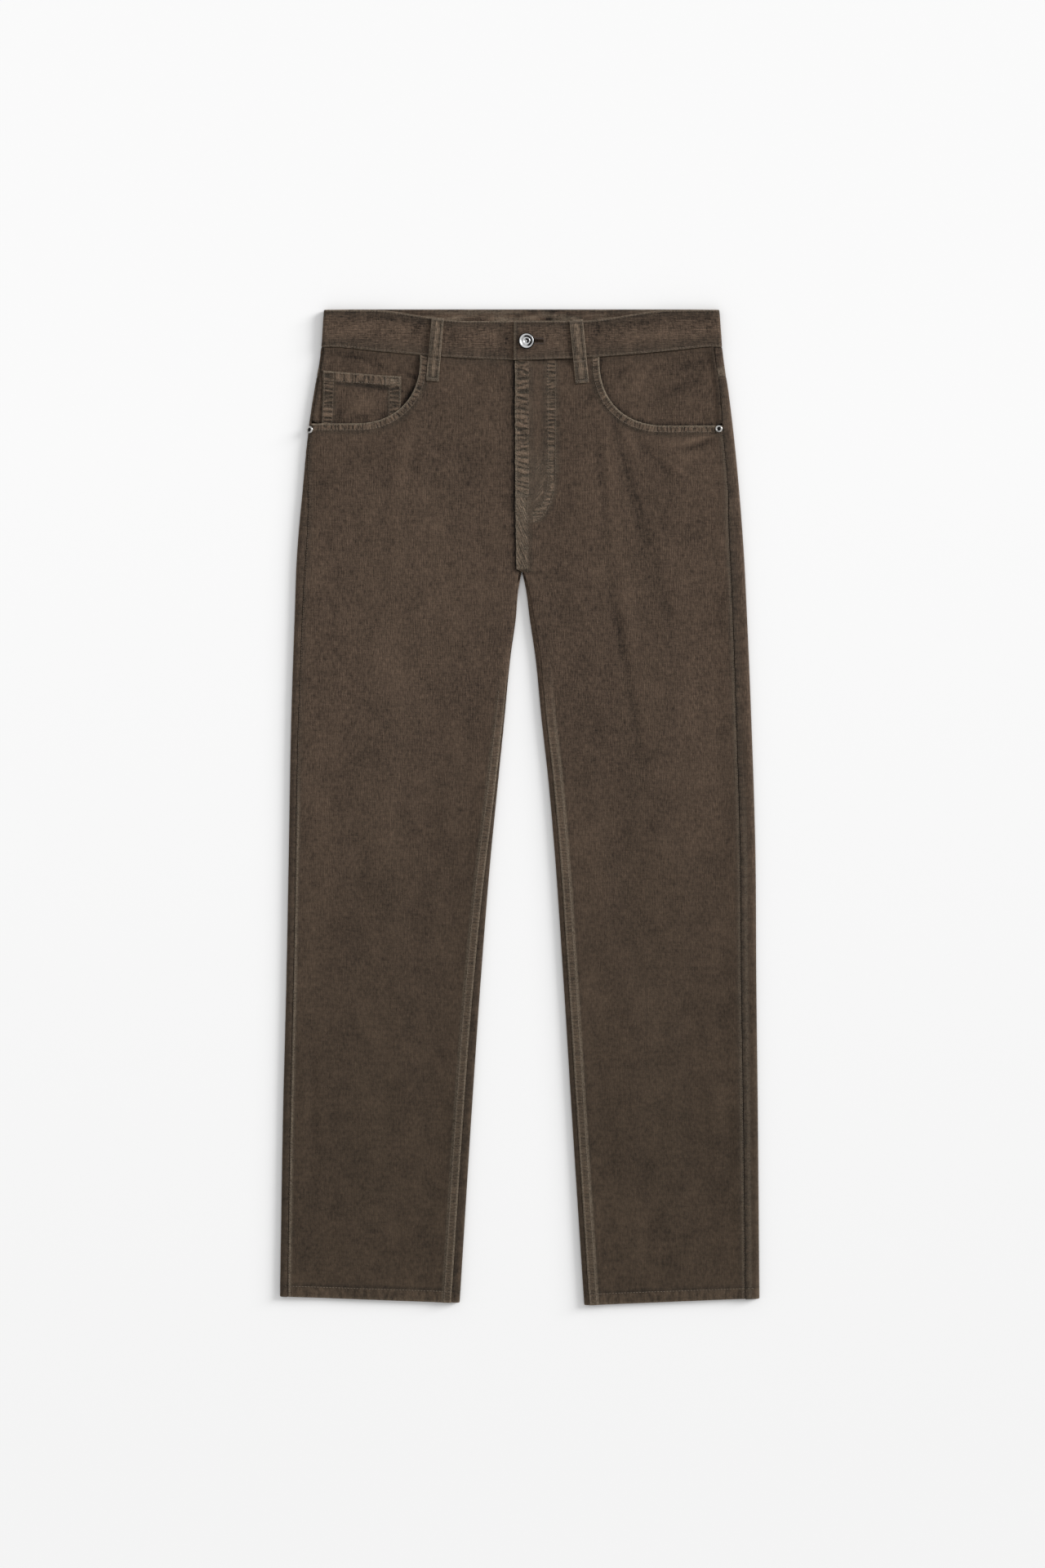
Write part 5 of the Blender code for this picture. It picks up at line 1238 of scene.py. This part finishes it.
def band_half(side, end):
    """Stations from an end on the front round to the centre back, as (sign, a, z, share of the back)."""
    radius = BAND_TOP_Z / 2
    edge = outer(side, BAND_MIDDLE_Y)
    front = spaced((end, end + 3, 3), (end + 3, edge - radius, 90))
    turn = np.radians(np.linspace(78, -78, 13))
    back = spaced((edge - radius, 0, 74))
    a = np.concatenate([front, edge - radius + radius * np.cos(turn), back])
    z = np.concatenate([band_top_z(side, front), radius + radius * np.sin(turn),
                        SEAT_PAD * rise(edge - back, *BAND_PAD_RAMP)])
    on_back = np.concatenate([0 * front, 0.5 - turn / math.pi, 1 + 0 * back])
    return np.stack([np.full(len(a), 1 if side == "left" else -1), a, z, on_back], axis=1)


right = band_half("right", -BAND_UNDERLAP)
left = band_half("left", BAND_LEFT_END)
sign, a, z, on_back = np.concatenate([right, left[-2::-1]]).T
low_y = mix(band_low_y(a), BAND_LOW_Y, on_back)
top_y = mix(band_top_y(a), WAIST_Y, on_back)
share = spaced((0, 0.06, 3), (0.06, 0.94, 20), (0.94, 1, 3))[::-1, None]
y = mix(low_y, top_y, share)
spread = np.where(sign > 0, outer("left", y) / outer("left", BAND_MIDDLE_Y),
                  outer("right", y) / outer("right", BAND_MIDDLE_Y))
x = CENTRE_X + sign * a * spread
run = distances(np.hypot(np.diff(sign * a), np.diff(z)))
from_low, from_top = y - low_y, top_y - y
end_distance = np.minimum(run, run[-1] - run) + 0 * y
shows = rise(run, BAND_UNDERLAP + 8, 14) + 0 * y
gathers = strongest([gather(run + 0 * y, from_low, 9, 1.2 * shows), gather(run + 60, from_top, 6.5, shows),
                     gather(y, end_distance, 6, shows)])
settled = rise(run, 60, 30) * rise(run[-1] - run, 36, 30) * (1 - on_back)
folds = creases(BAND_FOLDS, x, y) * (1 - on_back)
waves = (0.5 * soft_noise(run / 26, y / 12, 21) + folds) * settled
grid = np.stack([x, y, z + waves * rise(np.minimum(from_low, from_top), 2, 8)], axis=2)
wear_and_painted_light = lines((0.55, from_top, 0.9), (0.42, from_low, 1), (0.9, end_distance, 1.2)) + 0.08 * gathers.strength
# Painted shade beside the rows of stitches and the end, the folds painted darker in their troughs and lighter on
# their crowns, the upper part painted darker and the lower edge lighter
painted_shade_and_tone = lines((0.75, from_low - 3.6, 0.9), (0.5, from_top - 2.6, 1.2), (0.7, end_distance - 3.3, 1.2)) - folds
painted_shade_and_tone = (painted_shade_and_tone + 0.25 * rise(from_low, 20, 18) - 0.12 * (1 - rise(from_low, 6, 16))) * shows
# The inside of the back band is painted lighter, as painted light where it lies in shade, with random streaks,
# and painted shade falls in a fold near x = 33 and under its upper edge
inner_wear_and_painted_light = np.clip(0.12 + 0.36 * soft_noise(run / 16, y / 2.4, 41), 0, 1)
inner_painted_shade_and_tone = 0.95 * soft_noise(run / 22, y / 2.8, 43) + 0.45 * soft_noise(run / 4, y / 7, 42)
inner_painted_shade_and_tone = inner_painted_shade_and_tone + lines((1, x - 33, 4), (0.7, from_top, 1.5))

# The same cloth fused to a stiff layer, which holds its ribs up and makes them plainer to see
BAND_CORDUROY = corduroy("stiffened_corduroy", "#55463a", "#3b3027", "#a49581", 1.45)
band = cloth_shell("waistband_strip", grid, BAND_THICKNESS, (y, run), gathers, wear_and_painted_light, painted_shade_and_tone, BAND_CORDUROY,
                   inside_wear_light_and_shade=(inner_wear_and_painted_light, inner_painted_shade_and_tone))

# The keyhole, cut as a slot from the shank outwards, and its dark thread
KEYHOLE_THREAD = thread("dark_buttonhole_thread", "#4a3a33", "#2a211d")
eye = np.radians(np.linspace(35, 325, 25))
slit_end = np.radians(np.linspace(-90, 90, 11))
hole_x = BUTTON_X + np.concatenate([EYE_RADIUS * np.cos(eye), SLIT_LENGTH + SLIT_RADIUS * np.cos(slit_end)])
hole_y = BUTTON_Y + np.concatenate([EYE_RADIUS * np.sin(eye), SLIT_RADIUS * np.sin(slit_end)])
levels = (BAND_TOP_Z - BAND_END_PRESS + GAP / 2, BAND_TOP_Z + 2 * BAND_THICKNESS)
ring = np.concatenate([np.stack([hole_x, hole_y, np.full(len(hole_x), level)], axis=1) for level in levels])
lower = np.arange(len(hole_x))
upper = lower + len(hole_x)
walls = np.stack([lower, np.roll(lower, -1), np.roll(upper, -1), upper], axis=1)
cutter = put_mesh("keyhole", ring, [walls, np.stack([lower[::-1], upper])], BAND_CORDUROY, smooth=False)
keyhole = band.modifiers.new("keyhole", "BOOLEAN")
keyhole.operation = "DIFFERENCE"
keyhole.object = cutter
opened = bpy.data.meshes.new_from_object(band.evaluated_get(bpy.context.evaluated_depsgraph_get()))
band.modifiers.clear()
band.data = opened
bpy.data.objects.remove(cutter)
lay_cloth(band, grid, "waistband")

# Rows along both edges and across the upper end, then the close stitches round the keyhole
puckered = grid + UP * PUCKER * pucker(gathers)[..., None]
on_top = (on_back < 0.15) & (run >= BAND_UNDERLAP - BAND_LEFT_END + 1)
under = on_back > 0.98
edges = [(edge, way) for edge in BAND_EDGE_ROWS for way in (-1, 1)]
groups = [row_of_stitches(puckered[edge][on_top & (sign == way)]) for edge, way in edges]
from_end = (run[-1] - run)[::-1]
groups.append(row_of_stitches(np.array([[np.interp(BAND_END_ROW, from_end, part) for part in row[::-1].T]
                                        for row in puckered[2:-2]])))
sew("stitches_waistband_front", groups)
groups = [row_of_stitches(grid[edge][under & (sign == way)] + THREAD_RADIUS * UP) for edge, way in edges]
sew("stitches_waistband_back", groups, up=-1)
outline = np.stack([hole_x, hole_y], axis=1)
outline = np.concatenate([outline, outline[:1]])
along = distances(np.linalg.norm(np.diff(outline, axis=0), axis=1))
where = np.arange(0, along[-1], KEYHOLE_PITCH)
at = np.stack([np.interp(where, along, outline[:, k]) for k in (0, 1)], axis=1)
way = np.gradient(at, axis=0)
way /= np.linalg.norm(way, axis=1, keepdims=True)
out = np.stack([way[:, 1], -way[:, 0]], axis=1)
middle = at[:, None] + out[:, None] * KEYHOLE_REACH[:, None]
level = np.full(middle.shape[:2] + (1,), band_top_z("left", 0) - 0.05)
sew("stitches_keyhole", [np.concatenate([middle, level], axis=2)], material=KEYHOLE_THREAD)


# ---------------------------------------------------------------- belt loops
# Narrow folded strips with two rows of stitches along them, tacked to the waistband's upper edge and
# below it.  Two lie on the front, and three on the back, under the garment.

LOOP_THICKNESS = 1.3
LOOP_ARCH = 1.6
LOOP_ARCH_END = 0.66
LOOP_LENGTH = 70
LOOP_STITCH_PITCH = 2.9
LOOP_STITCH_LENGTH = 2.1
LOOP_COLUMNS = np.array([-0.5, -0.47, -0.42, -0.34, -0.22, -0.08, 0.08, 0.22, 0.34, 0.42, 0.47, 0.5])

Loop = namedtuple("Loop", "name top_x top_y low_x low_y width")
FRONT_LOOPS = (
    Loop("belt_loop_front_right", -90, 538.2, -95.9, 468.9, 13.5),
    Loop("belt_loop_front_left", 62.1, 536, 68.9, 466.7, 14.8),
)
BACK_LOOPS = (
    Loop("belt_loop_back_right", -128, 545, -130, 474, 13.5),
    Loop("belt_loop_back_centre", 2.5, 545, 2.5, 474, 13.5),
    Loop("belt_loop_back_left", 133, 545, 135, 474, 13.5),
)


def loop_places(loop, t, across):
    """Points of a strip: t from the upper end to the lower one, and a distance across it."""
    run_x, run_y = loop.low_x - loop.top_x, loop.low_y - loop.top_y
    way_x, way_y = run_x / math.hypot(run_x, run_y), run_y / math.hypot(run_x, run_y)
    return mix(loop.top_x, loop.low_x, t) - way_y * across, mix(loop.top_y, loop.low_y, t) + way_x * across


def loop_top(loop, t, across):
    """Upper side of a front loop: it arches over the waistband, then comes down on to the front."""
    x, y = loop_places(loop, t, across)
    side = "left" if loop.top_x > CENTRE_X else "right"
    a = np.abs(x - CENTRE_X)
    on_band = rise(y - band_low_y(a), -9, 8)
    height = mix(front_top(side, a, y), band_top_z(side, a), on_band)
    arch = LOOP_ARCH * np.sin(math.pi * np.clip(t / LOOP_ARCH_END, 0, 1))
    crown = 0.35 * (1 - (2 * across / loop.width) ** 2)
    return x, y, height + GAP + arch + LOOP_THICKNESS + crown


# The same cloth folded tight, whose ridges are rubbed pale and whose ribs stand apart
LOOP_CORDUROY = corduroy("loop_corduroy", "#6a5a4b", "#372d26", "#a49581", 1.8)

for loop in FRONT_LOOPS + BACK_LOOPS:
    in_front = loop in FRONT_LOOPS
    t = spaced((0, 1, 56))[:, None]
    across = LOOP_COLUMNS * loop.width
    if in_front:
        x, y, z = loop_top(loop, t, across)
    else:
        x, y = loop_places(loop, t, across)
        z = 0.08 + 0 * x
    edge = 0.5 * loop.width - np.abs(across) + 0 * t
    end = LOOP_LENGTH * np.minimum(t, 1 - t) + 0 * across
    along = LOOP_LENGTH * t + 0 * across
    gathers = strongest([gather(along, edge - 2.6, 2.2, 1.5), gather(across + 0 * t, end, 3)])
    wear_and_painted_light = 0.16 + lines((0.65, edge, 0.9), (0.6, end, 1))
    # Painted shade beside the rows and the tacks and across the loop where it bends off the waistband, with
    # random tone
    painted_shade_and_tone = lines((1.7, edge - 2.8, 1), (1.7, end - 3.4, 1.2), (1, along - 44, 1.2))
    painted_shade_and_tone = painted_shade_and_tone - 0.8 * soft_noise(t * 14, across / 6 + 9, 51)
    grid = np.stack([x, y, z], axis=2)
    piece = cloth_shell(loop.name + "_strip", grid, LOOP_THICKNESS - (0 if in_front else 0.2),
                        (across + 0 * t, y), gathers, wear_and_painted_light, painted_shade_and_tone, LOOP_CORDUROY, faces_up=in_front)
    lay_cloth(piece, grid, loop.name)
    # On a front loop the thread follows the puckers, and on a back loop it lies in the flat wall
    if in_front:
        puckers, row_z, tack_z, tacked = PUCKER, -0.05, 0.1, (2, 37, -3)
    else:
        puckers, row_z, tack_z, tacked = 0, 0.25, 0.2, (2, -3)
    puckered = grid + UP * puckers * pucker(gathers)[..., None]
    groups = [row_of_stitches(puckered[:, column] + row_z * UP, LOOP_STITCH_PITCH, LOOP_STITCH_LENGTH)
              for column in (3, -4)]
    groups += [bar_tack(*(puckered[row] + tack_z * UP)[[1, -2]], 1.1) for row in tacked]
    sew("stitches_" + loop.name, groups, up=1 if in_front else -1)


# ---------------------------------------------------------------- button
# A two-part tack button of plated zinc, turned in one profile: a raised rim, a groove, an inner
# ring and a dimple, on a shank that goes through the buttonhole.  Its grooves are dark, partly in their
# finish and partly as painted shade and painted reflection, and one side is painted pale as a painted highlight.

# Each row of a profile is its radius, its height, and how dark it is painted: dark finish in the grooves, and
# painted shade and painted reflection, as on the button's outer wall
BUTTON_PROFILE = (
    (0, 2.85, 0), (0.5, 2.8, 0), (0.9, 2.5, 0.9), (1.5, 2.25, 1), (2.5, 2.3, 1), (2.9, 2.7, 0.2),
    (3.3, 2.95, 0), (3.9, 2.85, 0), (4.3, 2.45, 0.8), (4.8, 2.2, 1), (5.8, 2.25, 1), (6.2, 2.6, 0.3),
    (6.6, 2.95, 0), (7.1, 3.1, 0), (7.6, 3, 0.1), (8, 2.6, 1), (8.6, 1.9, 1), (8.8, 1.3, 1),
    (8.6, 0.8, 0.5), (7.9, 0.4, 0.8), (2.6, 0.3, 1), (SHANK_RADIUS, -2.7, 1), (0, -2.8, 1),
)
HIGHLIGHT_TOWARDS = 0.35       # angle of the side painted pale, as a painted highlight


def metal(name, bright, dark, roughness):
    """Plated metal, cast or pressed and then tumbled: dark by the groove attribute, which holds dark finish in
    its grooves, painted shade and painted reflection, and bright elsewhere.

    Tumbling leaves marks of some 0.05 mm, drawn at 0.7 mm so that they show.
    """
    material, tree, shader = new_material(name)
    place = node(tree, "TexCoord", out="Object")
    groove_and_painted_shade = node(tree, "Attribute", out="Fac", attribute_name="groove_and_painted_shade")
    marks = node(tree, "TexNoise", {"Vector": place, "Scale": 1.4 / MM, "Detail": 3})
    depth = node(tree, "Math", (marks, 0.35, groove_and_painted_shade), operation="MULTIPLY_ADD", use_clamp=True)
    colour = node(tree, "Mix", {0: depth, 6: linear(bright), 7: linear(dark)}, out=2, data_type="RGBA")
    gloss = node(tree, "MapRange", (marks, 0, 1, roughness - 0.08, roughness + 0.14))
    bump = node(tree, "Bump", {"Strength": 0.25, "Distance": 0.02 * MM, "Height": marks})
    connect(tree, shader, {"Base Color": colour, "Normal": bump, "Roughness": gloss, "Metallic": 0.8})
    return material


def turned(name, profile, segments, place, axis, material, wear_and_highlight=0):
    """A profile turned about an axis, from its upper centre to its lower one.

    The grooves inside the rim are painted dark.  On one side they are painted pale, by the share given
    last, as a painted highlight, and dark arcs round every ring are painted reflection.
    """
    radius, height, groove_and_painted_shade = np.array(profile).T
    angle = np.linspace(0, 2 * math.pi, segments, endpoint=False)
    ring_radius, ring_height, ring_groove = (part[1:-1, None] for part in (radius, height, groove_and_painted_shade))
    ring = [ring_radius * np.cos(angle), ring_radius * np.sin(angle), ring_height]
    ring = np.stack(np.broadcast_arrays(*ring), axis=2).reshape(-1, 3)
    points = np.concatenate([ring, [[0, 0, height[0]], [0, 0, height[-1]]]])
    turn = np.array(Vector(axis).to_track_quat("Z", "Y").to_matrix())
    number = np.arange(len(ring)).reshape(-1, segments)
    first, last = number[0], number[-1]
    upper, lower = np.full(segments, len(ring)), np.full(segments, len(ring) + 1)
    caps = np.concatenate([np.stack([upper, first, np.roll(first, -1)], axis=1),
                           np.stack([lower, np.roll(last, -1), last], axis=1)])
    faces = [quads_between(number[:-1], number[1:]), caps]
    piece = put_mesh(name, points @ turn.T + np.array(place), faces, material)
    # Painted reflection: dark arcs round every ring, and a painted highlight that pales the grooves on one side
    facing = np.cos(angle - HIGHLIGHT_TOWARDS)
    painted_reflection_arcs = 0.5 * np.clip(np.cos(2 * angle + 0.7), 0, 1) + 0.5 * np.clip(np.cos(angle + 0.4), 0, 1)
    painted_reflection_arcs = mix(painted_reflection_arcs, 0.55 * np.clip(-facing, 0, 1), wear_and_highlight)
    painted_highlight = 1 - wear_and_highlight * (ring_radius < 0.9 * radius.max()) * rise(facing, -0.25, 0.7)
    darkness_and_painted_reflection = np.clip(ring_groove * painted_highlight + painted_reflection_arcs * (0.4 + ring_groove), 0, 1)
    set_attribute(piece, "groove_and_painted_shade", np.concatenate([darkness_and_painted_reflection.ravel(), groove_and_painted_shade[[0, -1]]]))
    return piece


BUTTON_METAL = metal("plated_zinc_button", "#fafbfc", "#161514", 0.24)
shank_foot = BAND_TOP_Z - BAND_END_PRESS + GAP
button = turned("waist_button_turned", BUTTON_PROFILE, 72, (BUTTON_X, BUTTON_Y, shank_foot + 2.9),
                (0, 0, 1), BUTTON_METAL, wear_and_highlight=0.85)
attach(button, "root")
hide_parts("waist_button")


# ---------------------------------------------------------------- rivets
# Pressed copper-alloy rivets, silver plated, through the outer end of each pocket edge: a bright
# ring round a dark domed post.

RIVET_PROFILE = (
    (0, 1.2, 0.9), (0.8, 1.15, 0.9), (1.3, 0.95, 1), (1.7, 0.7, 1), (2, 0.72, 0.5), (2.4, 1.05, 0),
    (2.9, 1.22, 0), (3.4, 1.05, 0), (3.85, 0.6, 0), (4, 0.25, 0.2), (4, 0, 0.6), (0, 0, 1),
)
Rivet = namedtuple("Rivet", "side from_edge y")
RIVETS = (Rivet("right", 1.9, 415.5), Rivet("left", 15.9, 416.4))
RIVET_METAL = metal("plated_rivet", "#e2e0dc", "#1c1a19", 0.2)


def cloth_slope(side, a, y, step=0.5):
    """Slope of a front towards the side, from places a step before and after, and its height."""
    before, after = (float(front_top(side, np.array(a + shift), np.array(y))) for shift in (-step, step))
    return (before - after) / (2 * step), float(front_top(side, np.array(a), np.array(y)))


for rivet in RIVETS:
    a = float(outer(rivet.side, rivet.y)) - rivet.from_edge
    slope, height = cloth_slope(rivet.side, a, rivet.y)
    sign = 1 if rivet.side == "left" else -1
    axis = Vector((sign * slope, 0, 1)).normalized()
    place = Vector((to_x(rivet.side, a), rivet.y, height)) + axis * (GAP + 0.2)
    piece = turned("rivet_turned_" + rivet.side, RIVET_PROFILE, 48, place, axis, RIVET_METAL)
    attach(piece, "root")
    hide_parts("rivet_" + rivet.side)


# ---------------------------------------------------------------- ground, camera and light
# A seamless ground of pale paper that the garment is laid on, a camera straight above it, and the soft
# light of a window, from above and from the right.

GROUND_HALF = 6000
GROUND_Z = -0.4
CAMERA_HEIGHT = 4
VIEW_HEIGHT = 1.728       # of the ground, over the image's 1920 pixels

# Uncoated paper, rolled smooth and matt, painted a little darker towards the bottom as a painted falloff of the
# light
paper, tree, shader = new_material("matt_white_paper")
level = node(tree, "SeparateXYZ", (node(tree, "TexCoord", out="Object"),), out="Y")
shade = node(tree, "MapRange", (level, -0.7, 0.4, 0, 1))
colour = node(tree, "Mix", {0: shade, 6: linear("#f5f5f5"), 7: linear("#fbfbfb")}, out=2, data_type="RGBA")
connect(tree, shader, {"Base Color": colour, "Roughness": 0.95, "Specular IOR Level": 0.1})
corners = [(-GROUND_HALF, -GROUND_HALF, GROUND_Z), (GROUND_HALF, -GROUND_HALF, GROUND_Z),
           (GROUND_HALF, GROUND_HALF, GROUND_Z), (-GROUND_HALF, GROUND_HALF, GROUND_Z)]
ground = put_mesh("ground", np.array(corners), [np.array([(0, 1, 2, 3)])], paper, smooth=False)

camera_data = bpy.data.cameras.new("camera")
camera_data.angle = 2 * math.atan(0.5 * VIEW_HEIGHT / CAMERA_HEIGHT)
camera = add_object("camera", camera_data)
camera.location = (0.00315, 0.02565, CAMERA_HEIGHT)
bpy.context.scene.camera = camera

sun_data = bpy.data.lights.new("window", "SUN")
sun_data.energy = 3.1
sun_data.angle = math.radians(26)
sun = add_object("window", sun_data)
sun.rotation_euler = Vector((0.85, 0.38, 0.345)).to_track_quat("Z", "Y").to_euler()

world = bpy.data.worlds.new("studio")
bpy.context.scene.world = world
world.use_nodes = True
connect(world.node_tree, world.node_tree.nodes["Background"], {"Color": linear("#ffffff"), "Strength": 0.65})
bpy.context.scene.view_settings.view_transform = "Standard"
